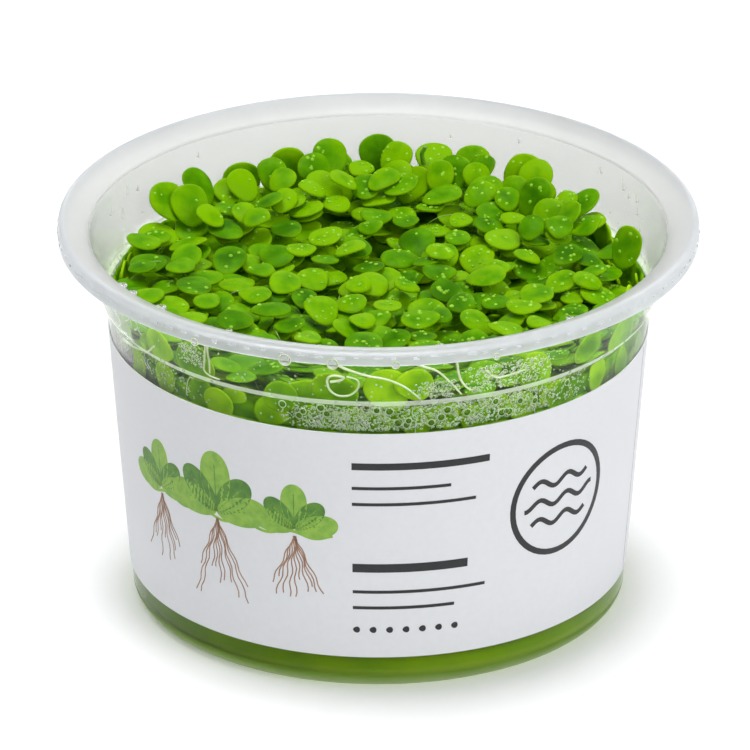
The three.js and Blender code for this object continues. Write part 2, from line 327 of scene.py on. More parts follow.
def add_node(material, kind, inputs, **settings):
    node = material.node_tree.nodes.new("ShaderNode" + kind)
    for name, value in settings.items():
        setattr(node, name, value)
    put(node, inputs)
    return node


def shader_of(material):
    return material.node_tree.nodes["Principled BSDF"]


def ramp(material, source, stops):
    node = add_node(material, "ValToRGB", {"Fac": source})
    elements = node.color_ramp.elements
    while len(elements) < len(stops):
        elements.new(0.5)
    for element, (place, colour) in zip(elements, stops):
        element.position = place
        element.color = (*colour, 1)
    return node.outputs["Color"]


def noise(material, scale, detail=3.0):
    place = add_node(material, "TexCoord", {}).outputs["Object"]
    inputs = {"Vector": place, "Scale": scale, "Detail": detail}
    return add_node(material, "TexNoise", inputs).outputs["Fac"]


def place_on(material):
    """The x, y and z of the place on the object, in metres."""
    place = add_node(material, "TexCoord", {}).outputs["Object"]
    return add_node(material, "SeparateXYZ", {"Vector": place}).outputs


def worked(material, operation, a, b):
    return add_node(material, "Math", {0: a, 1: b}, operation=operation).outputs[0]


def remap(material, source, low, high, start=0.3, end=0.7):
    inputs = {"Value": source, "From Min": start, "From Max": end, "To Min": low, "To Max": high}
    return add_node(material, "MapRange", inputs).outputs["Result"]


def mixed(material, share, a, b):
    node = add_node(material, "Mix", {}, data_type="RGBA")
    for index, source in ((0, share), (6, a), (7, b)):
        if isinstance(source, bpy.types.NodeSocket):
            material.node_tree.links.new(source, node.inputs[index])
        else:
            node.inputs[index].default_value = source if index == 0 else (*source, 1)
    return node.outputs[2]


def bump(material, height, strength, distance):
    inputs = {"Height": height, "Strength": strength, "Distance": distance}
    put(shader_of(material), {"Normal": add_node(material, "Bump", inputs).outputs["Normal"]})


def mould_waves(material):
    bump(material, noise(material, 90, 2.0), 0.1, 0.0004)


def paint(material, grain, colours, rough):
    """Base colour and roughness that follow one grain. colours are (place, colour) stops."""
    put(shader_of(material), {
        "Base Color": ramp(material, grain, colours),
        "Roughness": remap(material, grain, *rough),
    })


def plastic_material(name, tint, clear, rough, marks=0.0, ior=PLASTIC_IOR, shine=0.5, mirror=1.0):
    """Clear moulded plastic with faint waves from the mould, and marks of haze where it is frosted."""
    material = new_material(
        name,
        IOR=ior,
        Transmission_Weight=clear,
        Specular_IOR_Level=shine,
        Specular_Tint=(mirror, mirror, mirror, 1),
    )
    light = tuple(min(1.0, c * (1 + marks)) for c in tint)
    dark = tuple(c * (1 - marks) for c in tint)
    paint(material, noise(material, 260, 2.0), [(0.42, dark), (0.58, light)], (rough * 0.8, rough * 1.2))
    mould_waves(material)
    return material


def foot_material():
    """The rounded bottom corner of the tub, painted green to stand for the contents seen through it, and
    paling to a painted glow at its lowest edge.
    """
    material = new_material("foot_edge_painted_glow", IOR=PLASTIC_IOR, Transmission_Weight=0.3, Specular_IOR_Level=0.1)
    # painted glow: toward the bottom edge the colour is mixed to a pale green
    pale = remap(material, place_on(material)["Z"], 1.0, 0.0, 0.0002, 0.0022)
    haze = noise(material, 260, 2.0)
    # painted green that stands in for the contents seen through the plastic
    body = ramp(material, haze, [(0.42, (0.15, 0.28, 0.02)), (0.58, (0.17, 0.3, 0.03))])
    put(shader_of(material), {
        "Base Color": mixed(material, pale, body, (0.52, 0.66, 0.3)),
        "Roughness": remap(material, haze, 0.35, 0.45),
    })
    mould_waves(material)
    return material


def hazy_material():
    """The bare wall: hazy where it is dry, clear toward the wet front, and fogged at the left."""
    material = new_material("hazy_plastic", IOR=PLASTIC_IOR, Specular_Tint=(0.5, 0.5, 0.5, 1))
    x, y, z = place_on(material)
    drift = remap(material, noise(material, 260, 2.0), -0.0012, 0.0012)
    edges = {"From Min": -WET_EDGES[0] * MM, "From Max": -WET_EDGES[1] * MM}
    heights = {"To Min": BACK_WET * MM, "To Max": FRONT_WET * MM}
    wet = add_node(material, "MapRange", {"Value": y, **edges, **heights}, interpolation_type="SMOOTHSTEP")
    above = worked(material, "ADD", worked(material, "SUBTRACT", z, wet.outputs["Result"]), drift)
    dry = remap(material, above, 0.0, 1.0, 0.0, 0.0025)
    left = worked(material, "SUBTRACT", drift, x)
    side = remap(material, left, 0.0, 1.0, (FOG_EDGE + 0.8) * MM, (FOG_EDGE + 3) * MM)
    low = remap(material, z, 1.0, 0.0, *(height * MM for height in FOG_FADE))
    fog = worked(material, "MULTIPLY", side, low)
    share = worked(material, "MAXIMUM", dry, fog)
    clear = [remap(material, s, 1.0, least, 0.0, 1.0) for s, least in ((share, 0.85), (fog, 0.92))]
    haze = mixed(material, fog, (0.74, 0.745, 0.725), (0.76, 0.84, 0.64))
    put(shader_of(material), {
        "Base Color": mixed(material, share, (0.95, 0.97, 0.95), haze),
        "Roughness": remap(material, share, 0.02, 0.22, 0.0, 1.0),
        "Transmission Weight": worked(material, "MULTIPLY", *clear),
    })
    mould_waves(material)
    return material


def water_material():
    shown = dict(Base_Color=(1, 1, 1, 1), Roughness=0.02, IOR=WATER_IOR, Transmission_Weight=1.0)
    material = new_material("water", **shown)
    bump(material, noise(material, 400, 2.0), 0.05, 0.00002)
    return material


def leaf_water_material():
    """Drops on the leaves, painted a light lime green: partly the leaf's green seen through them, partly
    painted light that they gather.
    """
    material = new_material("leaf_water", IOR=WATER_IOR, Transmission_Weight=0.3, Specular_IOR_Level=0.3)
    # painted light: these greens are lighter than the leaves the drops sit on
    painted_glow_greens = [(0.35, (0.24, 0.56, 0.01)), (0.65, (0.42, 0.74, 0.05))]
    paint(material, noise(material, 240, 2.0), painted_glow_greens, (0.12, 0.25))
    return material


def liquid_material():
    """The wet inner face of the tub bends the light into water already, so this hardly does."""
    material = new_material("nutrient_liquid", Roughness=0.02, IOR=1.02, Transmission_Weight=1.0)
    absorb = add_node(material, "VolumeAbsorption", {"Color": (0.7, 0.88, 0.1, 1), "Density": 60.0})
    tree = material.node_tree
    tree.links.new(absorb.outputs["Volume"], tree.nodes["Material Output"].inputs["Volume"])
    bump(material, noise(material, 60, 2.0), 0.05, 0.0001)
    return material


def label_material():
    material = new_material("label_paper", IOR=1.5)
    grain = noise(material, 900, 4.0)
    paint(material, grain, [(0.3, (0.68, 0.69, 0.71)), (0.7, (0.7, 0.71, 0.73))], (0.38, 0.52))
    bump(material, grain, 0.06, 0.00004)
    return material


def ink_material(name, low, high):
    material = new_material(name)
    paint(material, noise(material, 700), [(0.35, low), (0.65, high)], (0.4, 0.55))
    return material


def frond_material(name, dark, middle, light, wet):
    """Waxy leaf. Its look is (tint, way over the rim, way along), the second 0 on top to 2 below."""
    material = new_material(
        name,
        Subsurface_Weight=0.1,
        Subsurface_Radius=(0.4, 1.0, 0.05),
        Subsurface_Scale=0.0006,
        Specular_IOR_Level=wet,
        IOR=1.4,
    )
    look = add_node(material, "Attribute", {}, attribute_name="look").outputs["Vector"]
    tint, over, along = add_node(material, "SeparateXYZ", {"Vector": look}).outputs
    blotch = remap(material, noise(material, 330, 6.0), -0.36, 0.36, 0.25, 0.75)
    outward = remap(material, over, -0.12, 0.12, 0.0, 1.0)
    shade = worked(material, "ADD", worked(material, "ADD", tint, blotch), outward)
    colour = ramp(material, shade, [(0.05, dark), (0.5, middle), (0.95, light)])
    base_light = remap(material, along, 0.35, 0.0, 0.0, 0.3)
    colour = mixed(material, base_light, colour, light)
    rim = ramp(material, remap(material, over, 0, 1, 0, 2), [
        (0.0, (0, 0, 0)), (0.46, (0.05, 0.05, 0.05)), (0.5, (0.4, 0.4, 0.4)), (0.55, (0.15, 0.15, 0.15)),
    ])
    pale = tuple(0.65 * c + 0.35 * v for c, v in zip(light, (0.6, 0.8, 0.02)))
    put(shader_of(material), {
        "Base Color": mixed(material, rim, colour, pale),
        "Roughness": remap(material, noise(material, 900, 2.0), 0.28, 0.46),
    })
    bump(material, noise(material, 330, 4.0), 0.35, 0.0005)
    return material


def settled_material():
    """Green matter that has settled in the liquid, with a painted glow that pales its lowest part."""
    material = new_material("settled_matter", Specular_IOR_Level=0.05)
    cloud = noise(material, 150, 4.0)
    # painted glow: from 3.5 mm down to 1 mm above the table the colour is mixed toward a pale green
    low = remap(material, place_on(material)["Z"], 1.0, 0.0, 0.001, 0.0035)
    body = ramp(material, cloud, [(0.3, (0.17, 0.35, 0.0)), (0.7, (0.24, 0.43, 0.0))])
    put(shader_of(material), {
        "Base Color": mixed(material, low, body, (0.5, 0.68, 0.1)),
        "Roughness": remap(material, cloud, 0.5, 0.7),
    })
    bump(material, noise(material, 500), 0.2, 0.0001)
    return material


def strand_material(name, low, high):
    material = new_material(name, Subsurface_Weight=0.15, Subsurface_Scale=0.0003, Coat_Weight=0.4)
    grain = noise(material, 500)
    paint(material, grain, [(0.3, low), (0.7, high)], (0.25, 0.45))
    bump(material, grain, 0.3, 0.00005)
    return material


PLASTIC = plastic_material("clear_plastic", (0.95, 0.97, 0.95), 1.0, 0.02, shine=0.12, mirror=0.2)
WET_PLASTIC = plastic_material("wet_plastic", (0.97, 0.98, 0.97), 1.0, 0.02, ior=PLASTIC_IOR / WATER_IOR)
HAZY = hazy_material()
FLANGE = plastic_material("flange_plastic", (0.72, 0.725, 0.715), 0.6, 0.35, 0.01, mirror=0.3)
FROSTED = plastic_material("frosted_plastic", (0.73, 0.75, 0.765), 0.55, 0.4, 0.02, shine=0.35)
CLOUDY = plastic_material("cloudy_plastic", (0.97, 0.98, 0.8), 0.97, 0.22, shine=0.08, mirror=0.2)
FOOT = foot_material()
# partly frosted plastic, partly a painted highlight: its pale green stands for the light the moulded ring
# catches from above
RING = plastic_material("shoulder_ring", (0.86, 0.95, 0.76), 0.5, 0.3, 0.02, shine=0.3)
MARKS = plastic_material("lip_marks", (0.82, 0.84, 0.85), 0.6, 0.3, 0.02)
SMEAR = plastic_material("dried_smears", (0.76, 0.79, 0.73), 0.6, 0.5, shine=0.1)
WATER = water_material()
LIQUID = liquid_material()
SETTLED = settled_material()
LABEL = label_material()
INK = ink_material("dark_ink", (0.006, 0.007, 0.008), (0.012, 0.013, 0.015))
GREEN_INK = ink_material("green_ink", (0.05, 0.17, 0.01), (0.1, 0.26, 0.02))
LIGHT_INK = ink_material("light_green_ink", (0.17, 0.36, 0.03), (0.26, 0.46, 0.05))
GREY_INK = ink_material("grey_ink", (0.36, 0.37, 0.38), (0.4, 0.41, 0.42))
BROWN_INK = ink_material("brown_ink", (0.25, 0.13, 0.07), (0.36, 0.2, 0.12))
FROND = frond_material("frond", (0.034, 0.155, 0.0), (0.09, 0.3, 0.0), (0.2, 0.45, 0.0), 0.035)
# painted light: the lower, wall and core fronds take a lighter copy of the frond greens, to make up for the
# shade they lie in
UNDER_PAINTED_LIGHT = frond_material("lower_frond", (0.08, 0.25, 0.0), (0.19, 0.44, 0.0), (0.36, 0.64, 0.005), 0.02)
LEAF_WATER = leaf_water_material()
THREAD = strand_material("fine_root", (0.22, 0.42, 0.06), (0.42, 0.6, 0.2))
STALK = strand_material("stalk", (0.1, 0.32, 0.0), (0.2, 0.45, 0.02))
ROOT = strand_material("root", (0.62, 0.74, 0.4), (0.8, 0.88, 0.62))
# painted highlight: pale rings that stand for the light caught at the rims of bubbles and drops
RIM_HIGHLIGHT = strand_material("bubble_rim_highlights", (0.52, 0.72, 0.28), (0.84, 0.92, 0.7))


# Tub and liquid
LIP_MARKS = 110
FOOT_TOP = 2.6


def corner_arc(inset, steps=8):
    """The rounded bottom corner, from the flat underside up to the wall, set in from the tub's outer face."""
    turns = [k / steps * math.pi / 2 for k in range(steps + 1)]
    radius = CORNER_RADIUS - inset
    return [(FOOT_RADIUS + radius * math.sin(t), CORNER_RADIUS - radius * math.cos(t)) for t in turns]


def make_tub():
    upper = [
        (outer_radius(BACK_WET), BACK_WET),
        (SHOULDER_RADIUS - SHOULDER_STEP, SHOULDER_HEIGHT - 0.4),
        (SHOULDER_RADIUS, SHOULDER_HEIGHT + 0.2),
        (outer_radius(RING_TOP), RING_TOP),
        (outer_radius(MOUTH_HEIGHT - 1), MOUTH_HEIGHT - 1),
        (MOUTH_RADIUS + 1.2, MOUTH_HEIGHT - 0.4),
        (LIP_RADIUS - 1.5, TUB_HEIGHT - 0.9),
        (LIP_RADIUS - WALL, TUB_HEIGHT - 1.4),
        (LIP_RADIUS - WALL, SKIRT_BOTTOM),
        (SKIRT_RADIUS, SKIRT_BOTTOM),
        (SKIRT_RADIUS, TUB_HEIGHT - 0.8),
        (LIP_RADIUS - 0.3, TUB_HEIGHT - 0.2),
        (LIP_RADIUS - 0.9, TUB_HEIGHT),
        (MOUTH_RADIUS, MOUTH_HEIGHT),
        *[(inner_radius(z), z) for z in np.linspace(FRONT_WET, RING_TOP, 15)],
        (SHOULDER_RADIUS - WALL, SHOULDER_HEIGHT + 0.4),
        (SHOULDER_RADIUS - SHOULDER_STEP - WALL, SHOULDER_HEIGHT - 0.2),
        *[(inner_radius(z), z) for z in np.linspace(BACK_WET, SIDE_WET, 8)],
    ]
    outer_arc = corner_arc(0)
    inner_arc = corner_arc(FLOOR)[::-1]
    upper = rounded([outer_arc[-1], *upper, inner_arc[0]], 0.3)[1:-1]
    pile = Pile()
    pile.add(*turned([(0, 0), *outer_arc, *upper, *inner_arc, (0, FLOOR)]))
    pile.piece("clear_tub", PLASTIC, "clear_plastic", ["tub"], [
        (WET_PLASTIC, lambda c: c.z < wet_height(c) and on_inner_face(c)),
        (HAZY, lambda c: c.z > wet_height(c) and (on_inner_face(c) or c.z > RING_TOP)),
        (HAZY, lambda c: c.z > SIDE_WET and -c.x > FOG_EDGE and on_inner_face(c)),
        (CLOUDY, lambda c: c.z < LABEL_BOTTOM + 0.8 and c.xy.length > FOOT_RADIUS and not on_inner_face(c)),
        (FOOT, lambda c: c.z < FOOT_TOP and c.xy.length > FOOT_RADIUS - 1.5 and not on_inner_face(c)),
        (RING, lambda c: RING_BOTTOM < c.z < RING_TOP and not on_inner_face(c)),
        (FLANGE, lambda c: c.z > MOUTH_HEIGHT - 0.5 and c.xy.length > MOUTH_RADIUS - 0.5),
        (FROSTED, lambda c: c.xy.length > LIP_RADIUS - 1.6),
    ], shadow=False)


def make_lip_marks():
    """Short marks from the mould, in a row along the lip's skirt, finer behind."""
    draw = draws("lip_marks")
    pile = Pile()
    for k in range(LIP_MARKS):
        start = (k + draw.uniform(0, 0.3)) / LIP_MARKS * TURN
        turns = np.linspace(start, start + draw.uniform(0.2, 0.65) / LIP_MARKS * TURN, 5)
        thick = draw.uniform(0.16, 0.32) * (0.45 if math.sin(start) > 0.1 else 1)
        radius, z = LIP_RADIUS - 0.04 - thick, TUB_HEIGHT - 1.55 + draw.uniform(-0.22, 0.22)
        path = np.stack([radius * np.cos(turns), radius * np.sin(turns), np.full(5, z)], -1)
        pile.add(*tube(path, thick, 8))
    pile.piece("lip_marks", MARKS, "clear_plastic", shadow=False)


def wet_height(place):
    """The fronds are pressed up the front of the wall, and lower round the sides and the back."""
    front = min(max((-place.y - WET_EDGES[0]) / (WET_EDGES[1] - WET_EDGES[0]), 0), 1)
    wave = 0.5 * math.sin(9 * math.atan2(place.y, place.x)) * math.sin(math.pi * front)
    return BACK_WET + (FRONT_WET - BACK_WET) * front * front * (3 - 2 * front) + wave


def on_inner_face(place):
    radius = place.xy.length
    if place.z > CORNER_RADIUS:
        return radius < outer_radius(place.z) - WALL / 2
    beyond = max(radius - FOOT_RADIUS, 0)
    return math.hypot(beyond, CORNER_RADIUS - place.z) < CORNER_RADIUS - FLOOR / 2


def make_liquid():
    gap = 0.06
    top = inner_radius(LIQUID_TOP) - gap
    arc = corner_arc(FLOOR + gap)
    edge = [(top, LIQUID_TOP), (top - 0.4, LIQUID_TOP - 0.3), (top - 1.4, LIQUID_TOP - 0.55)]
    pile = Pile()
    pile.add(*turned([(0, FLOOR + gap), *arc, *edge, (0, LIQUID_TOP - 0.6)]))
    pile.piece("liquid", LIQUID, "liquid", ["nutrient_liquid"], shadow=False)


# Label, and its print as thin layers of ink on it
LABEL_GAP = 0.03
LABEL_THICKNESS = 0.16
LABEL_SEAM = 0.8
INK_THICKNESS = 0.02
# where the painted shade line of the label's overlapping end stands, in millimetres around from the front
SEAM_SHADE_PLACE = 55
PRINT_RING = (30.5, 28.7)
RULED_LINES = [  # height, start, end, width
    (39.4, -4, 17, 1.2), (35.6, -4, 11, 0.55), (32.8, -4, 15, 0.55),
    (21.6, -4, 14, 1.5), (17.4, -4, 17, 0.55), (14.6, -4, 12, 0.55),
]
SPRIGS = [(-39, 1.35), (-26.5, 1.75), (-13, 1.3)]  # place, size
SPRIG_LEAVES = [  # direction, share of the size
    (0.2, 1.0), (0.8, 0.92), (1.57, 1.1), (2.35, 0.92), (2.95, 1.0),
]


def label_point(u, v, lift):
    """The place u around from the front and v above the table, lifted off the label's face."""
    radius = outer_radius(v) + LABEL_GAP + LABEL_THICKNESS + lift
    turn = -math.pi / 2 + u / outer_radius((LABEL_TOP + LABEL_BOTTOM) / 2)
    return on_circle(radius, turn, v)


def make_label():
    steps, rows = 240, 6
    half = LABEL_SEAM / 2 / outer_radius(LABEL_TOP)
    heights = np.linspace(LABEL_BOTTOM, LABEL_TOP, rows)
    section = [(outer_radius(z) + LABEL_GAP + LABEL_THICKNESS, z) for z in heights]
    section += [(outer_radius(z) + LABEL_GAP, z) for z in heights[::-1]]
    turns = np.linspace(math.pi / 2 + half, math.pi / 2 + TURN - half, steps)
    pile = Pile()
    pile.add(*strip(turns, [section] * steps))
    label = pile.piece("wrap_label", LABEL, "label_paper", ["label"])
    label.data.set_sharp_from_angle(angle=math.radians(50))


def sheet_of_ink(pile, rows):
    """Ink between two lines of (u, v) points: each row holds points from one side to the other."""
    rows = np.asarray(rows, float)
    count, across = rows.shape[:2]
    lifts = (INK_THICKNESS, 0.004)
    layers = [[label_point(u, v, lift) for row in rows for u, v in row] for lift in lifts]
    size = count * across
    i = np.arange(count - 1)[:, None] * across + np.arange(across - 1)
    top = np.stack([i, i + 1, i + across + 1, i + across], -1).reshape(-1, 4)
    loop = [*range(across), *(k * across + across - 1 for k in range(1, count))]
    loop += [*range(size - 2, size - across - 1, -1), *(k * across for k in range(count - 2, 0, -1))]
    loop = np.array(loop)
    after = np.roll(loop, -1)
    edge = np.stack([loop, loop + size, after + size, after], -1)
    first, second = rows[0][-1] - rows[0][0], rows[-1][0] - rows[0][0]
    faces = [top, top[:, ::-1] + size, edge]
    if first[0] * second[1] - first[1] * second[0] < 0:
        faces = [f[:, ::-1] for f in faces]
    pile.add(np.concatenate(layers), faces)


def ink_line(pile, path, width):
    """A stroke along (u, v) points."""
    path = np.asarray(path, float)
    along = unit_rows(np.gradient(path, axis=0))
    aside = np.stack([-along[:, 1], along[:, 0]], -1) * width / 2
    sheet_of_ink(pile, np.stack([path - aside, path + aside], 1))


def ink_leaf(pile, u, v, turn, length, width):
    """A filled rounded leaf that grows from (u, v)."""
    rows = []
    for k in range(19):
        s = (1 - math.cos(math.pi * k / 18)) / 2
        half = width / 2 * math.sqrt(max(1 - (2 * s - 1) ** 2, 0.0008)) * (0.8 + 0.35 * s)
        x = length * s
        for_row = [(x, half * w) for w in (-1, -0.5, 0, 0.5, 1)]
        c, n = math.cos(turn), math.sin(turn)
        rows.append([(u + c * a - n * b, v + n * a + c * b) for a, b in for_row])
    sheet_of_ink(pile, rows)


def ink_ring(pile, u, v, radius, width):
    rows = []
    sides = 48
    for k in range(sides + 1):
        t = k / sides * TURN * 0.9999
        rows.append([(u + r * math.cos(t), v + r * math.sin(t)) for r in (radius, radius - width)])
    sheet_of_ink(pile, rows)


def make_print():
    """Floating plants with roots under them, a ring with waves, and ruled lines."""
    dark, green, light, brown = Pile(), Pile(), Pile(), Pile()
    ink_ring(dark, *PRINT_RING, 9.6, 1.0)
    for k, half in enumerate((5.6, 7.0, 5.6)):
        u = np.linspace(-half, half, 29)
        wave = 3.3 * (1 - k) + 0.7 * np.sin(u * 1.15)
        ink_line(dark, np.stack([PRINT_RING[0] + u, PRINT_RING[1] + wave], -1), 0.8)
    for v, start, end, width in RULED_LINES:
        ink_line(dark, np.stack([np.linspace(start, end, 24), np.full(24, v)], -1), width)
    for k in range(7):
        ink_leaf(dark, -4 + 2.6 * k, 10.7, 0, 1.1, 1.1)
    water = np.linspace(-45, -7, 70)
    ink_line(light, np.stack([water, 26.7 + 0.45 * np.sin(water * 0.8)], -1), 0.5)
    draw = draws("print")
    for u, size in SPRIGS:
        for turn, share in SPRIG_LEAVES:
            pile = green if share < 1 else light
            ink_leaf(pile, u, 27.6, turn, 5.4 * size * share, 3.0 * size * share)
            vein = np.linspace(0.5, 4.2 * size * share, 8)[:, None] * (math.cos(turn), math.sin(turn))
            ink_line(light if share < 1 else green, (u, 27.6) + vein, 0.16)
        for k in range(11):
            lean = (k - 5) * 0.3 + draw.uniform(-0.1, 0.1)
            drop = np.linspace(0, size * draw.uniform(5, 8.5), 14)
            path = np.stack([u + lean * drop * 0.32 + 0.2 * np.sin(drop * 1.6 + k), 26.3 - drop], -1)
            ink_line(brown, path, 0.2)
    # painted shade: a grey line that stands for the shade at the label's overlapping end
    seam_shade = Pile()
    heights = np.linspace(LABEL_BOTTOM + 0.5, LABEL_TOP - 0.5, 12)
    ink_line(seam_shade, np.stack([np.full(12, SEAM_SHADE_PLACE), heights], -1), 0.28)
    for name, pile, ink in (
        ("print_dark", dark, INK), ("print_green", green, GREEN_INK), ("print_light", light, LIGHT_INK),
        ("print_roots", brown, BROWN_INK), ("label_seam_shade", seam_shade, GREY_INK),
    ):
        piece = pile.piece(name, ink, "label_paper")
        piece.data.polygons.foreach_set("use_smooth", np.zeros(len(piece.data.polygons), bool))


# Setting the colonies down, as the part's source does
def mat_top(x, y):
    broad = np.sin(x / 4.3 + 0.8) * np.cos(y / 3.9)
    return MAT_LEVEL + MAT_LUMP * (broad + np.sin((x + y) / 6.1))


class Stream:
    """A repeatable stream of numbers from 0 to 1."""

    def __init__(self, seed):
        self.state = seed

    def chance(self):
        self.state = (self.state * 48271) % 2147483647
        return self.state / 2147483647

    def between(self, limits):
        return limits[0] + (limits[1] - limits[0]) * self.chance()


def draw_frond(stream, offset, pitch, roll, lengths=FROND_LENGTH):
    length = stream.between(lengths)
    width = length * stream.between(FROND_WIDTH_SHARE)
    return dict(offset=offset, pitch=pitch, roll=roll, length=length, width=width)


def turned_about(vector, axis, angle):
    cross = np.cross(axis, vector)
    return vector * math.cos(angle) + cross * math.sin(angle) + axis * (axis @ vector) * (1 - math.cos(angle))


PROBES = 12
SINGLE_REACH = 9


class Frond:
    """A frond lies in its own plane: along points from its base to its tip, up is its upper side."""

    def __init__(self, base, along, side, up, length, width):
        self.base, self.along, self.side, self.up = base, along, side, up
        self.length, self.width = length, width

    def outline(self, turn):
        """(way along, way across), where turn 0 is the base and half a turn is the tip."""
        cosine = np.cos(turn)
        return self.length / 2 * (1 - cosine), self.width / 2 * np.sin(turn) * (1 - FROND_TAPER * cosine)

    def point(self, s, t, h):
        s, t, h = (np.asarray(v, float)[..., None] for v in (s, t, h))
        return self.base + s * self.along + t * self.side + h * self.up

    def probes(self, h):
        """Places on the middle, half way out and on the rim, at one height."""
        s, t = self.outline(even_turns(PROBES))
        middle = self.length / 2
        s = np.concatenate([[middle], middle + (s - middle) * 0.55, s])
        t = np.concatenate([[0], t * 0.55, t])
        return self.point(s, t, np.full(2 * PROBES + 1, h))


def pose_frond(spec, base, first, lean=LEAN):
    heading = first + spec["offset"]
    rise = math.radians(spec["pitch"] + lean * math.sin(heading))
    bank = math.radians(spec["roll"] + lean * math.cos(heading))
    c, s = math.cos(heading), math.sin(heading)
    along = np.array([c * math.cos(rise), s * math.cos(rise), math.sin(rise)])
    side = np.array([-s, c, 0.0])
    up = np.cross(along, side)
    side, up = turned_about(side, along, bank), turned_about(up, along, bank)
    return Frond(np.array(base, float), along, side, up, spec["length"], spec["width"])


def packed(fronds):
    """Fronds as one array for each of their values."""
    found = {k: np.array([getattr(f, k) for f in fronds]) for k in ("base", "along", "side", "up")}
    for k in ("length", "width"):
        found[k] = np.array([[getattr(f, k)] for f in fronds])
    return found


class Heap:
    """The fronds that already lie there."""

    def __init__(self):
        self.fronds = []

    def near(self, base, reach=REACH):
        if not self.fronds:
            return None
        bases = np.array([f.base for f in self.fronds])
        chosen = np.hypot(*(bases[:, :2] - base[:2]).T) < reach
        if not chosen.any():
            return None
        fronds = [f for f, c in zip(self.fronds, chosen) if c]
        found = packed(fronds)
        found["over"] = np.concatenate([f.probes(FROND_EDGE) for f in fronds])
        return found


def heights_at(fronds, x, y):
    """Heights of the fronds' middle planes at places, -inf where a frond doesn't reach."""
    dx = x[None] - fronds["base"][:, :1]
    dy = y[None] - fronds["base"][:, 1:2]
    up, along, side = fronds["up"], fronds["along"], fronds["side"]
    dz = -(up[:, :1] * dx + up[:, 1:2] * dy) / up[:, 2:3]
    cosine = 1 - 2 * (dx * along[:, :1] + dy * along[:, 1:2] + dz * along[:, 2:3]) / fronds["length"]
    t = dx * side[:, :1] + dy * side[:, 1:2] + dz * side[:, 2:3]
    inside = np.abs(cosine) < 1
    half = fronds["width"] / 2 * np.sqrt(np.where(inside, 1 - cosine * cosine, 0))
    half = half * (1 - FROND_TAPER * cosine)
    return np.where(inside & (np.abs(t) <= half + 0.15), fronds["base"][:, 2:3] + dz, -np.inf)


def lift_needed(colony, near, ground=mat_top, gap=REST_GAP):
    """How far a colony has to rise to lie clear of the mat and of what already lies there."""
    lift = -np.inf
    for frond in colony:
        under = frond.probes(-FROND_EDGE)
        x, y, z = under.T
        lift = max(lift, np.max(ground(x, y) + gap + 0.1 - z))
        if near is None:
            continue
        tops = heights_at(near, x, y) + FROND_CROWN / near["up"][:, 2:3] + gap
        lift = max(lift, np.max(tops - z))
        x, y, z = near["over"].T
        heights = heights_at(packed([frond]), x, y)[0]
        found = np.where(np.isfinite(heights), z + gap + 0.2 - heights + FROND_EDGE / frond.up[2], -np.inf)
        lift = max(lift, np.max(found))
    return lift


def wall_excess(colony):
    """How far a colony has to move towards the axis to stay inside the wall."""
    excess = 0.0
    for frond in colony:
        for x, y, z in frond.probes(0):
            room = inner_radius(max(z, SHOULDER_HEIGHT)) - GAP - FROND_CROWN
            excess = max(excess, math.hypot(x, y) - room)
    return excess


def set_down(specs, place, first, heap):
    """Moves a colony inside the wall and up or down on the heap, three times over."""
    colony = [pose_frond(spec, place, first) for spec in specs]
    for turn in range(3):
        base = colony[0].base.copy()
        inward = -wall_excess(colony) / math.hypot(base[0], base[1])
        near = heap.near(base)
        lift = lift_needed(colony, near)
        for frond in colony:
            frond.base = frond.base + np.array([base[0] * inward, base[1] * inward, 0])
            frond.base[2] += max(lift, 0) if turn else lift
    return colony


def lying_colony(number, heap, stream):
    radius = COLONY_SPREAD * math.sqrt((number + 0.6) / COLONY_COUNT)
    bearing = number * GOLDEN_ANGLE
    place = on_circle(radius, bearing, MAT_LEVEL)
    count = math.floor(stream.between(COLONY_FRONDS) + 0.5)
    first = stream.chance() * TURN
    specs = []
    for i in range(count):
        offset = (i + 0.12 * stream.chance()) / count * TURN
        pitch = stream.between(PITCH)
        roll = ROLL * (2 * stream.chance() - 1)
        specs.append(draw_frond(stream, offset, pitch, roll))
    tries = [set_down(specs, place, first + i / TURNS_TRIED * TURN, heap) for i in range(TURNS_TRIED)]
    return min(tries, key=lambda colony: colony[0].base[2])


def standing_colony(place, heap, stream):
    turn = math.radians(place["bearing"])
    base = on_circle(place["radius"], turn, 0.0)
    specs = [draw_frond(stream, 0, place["pitch"], 0, STANDING_LENGTH)]
    if "foot" in place:
        specs.append(draw_frond(stream, math.radians(FOOT_TURN), place["foot"], 0))
    return set_down(specs, base, math.radians(90 + (place["bearing"] - 90) * 0.6), heap)


def place_colonies(heap):
    stream = Stream(SEED)
    colonies = {}
    for number in range(COLONY_COUNT):
        colony = lying_colony(number, heap, stream)
        heap.fronds += colony
        colonies[f"colony_{number + 1:02d}"] = colony
    for number, place in enumerate(STANDING):
        colony = standing_colony(place, heap, stream)
        heap.fronds += colony
        colonies[f"standing_colony_{number + 1}"] = colony
    return colonies


# Frond shapes: (way out from the crown, over the rim) and which side it is on
FROND_SIDES = 28
TOP_SHARES = (0.26, 0.5, 0.7, 0.86, 0.955)
LOW_SHARES = (0.95, 0.8, 0.45)
FROND_FACES = shell_faces(len(TOP_SHARES) + 1 + len(LOW_SHARES), FROND_SIDES)


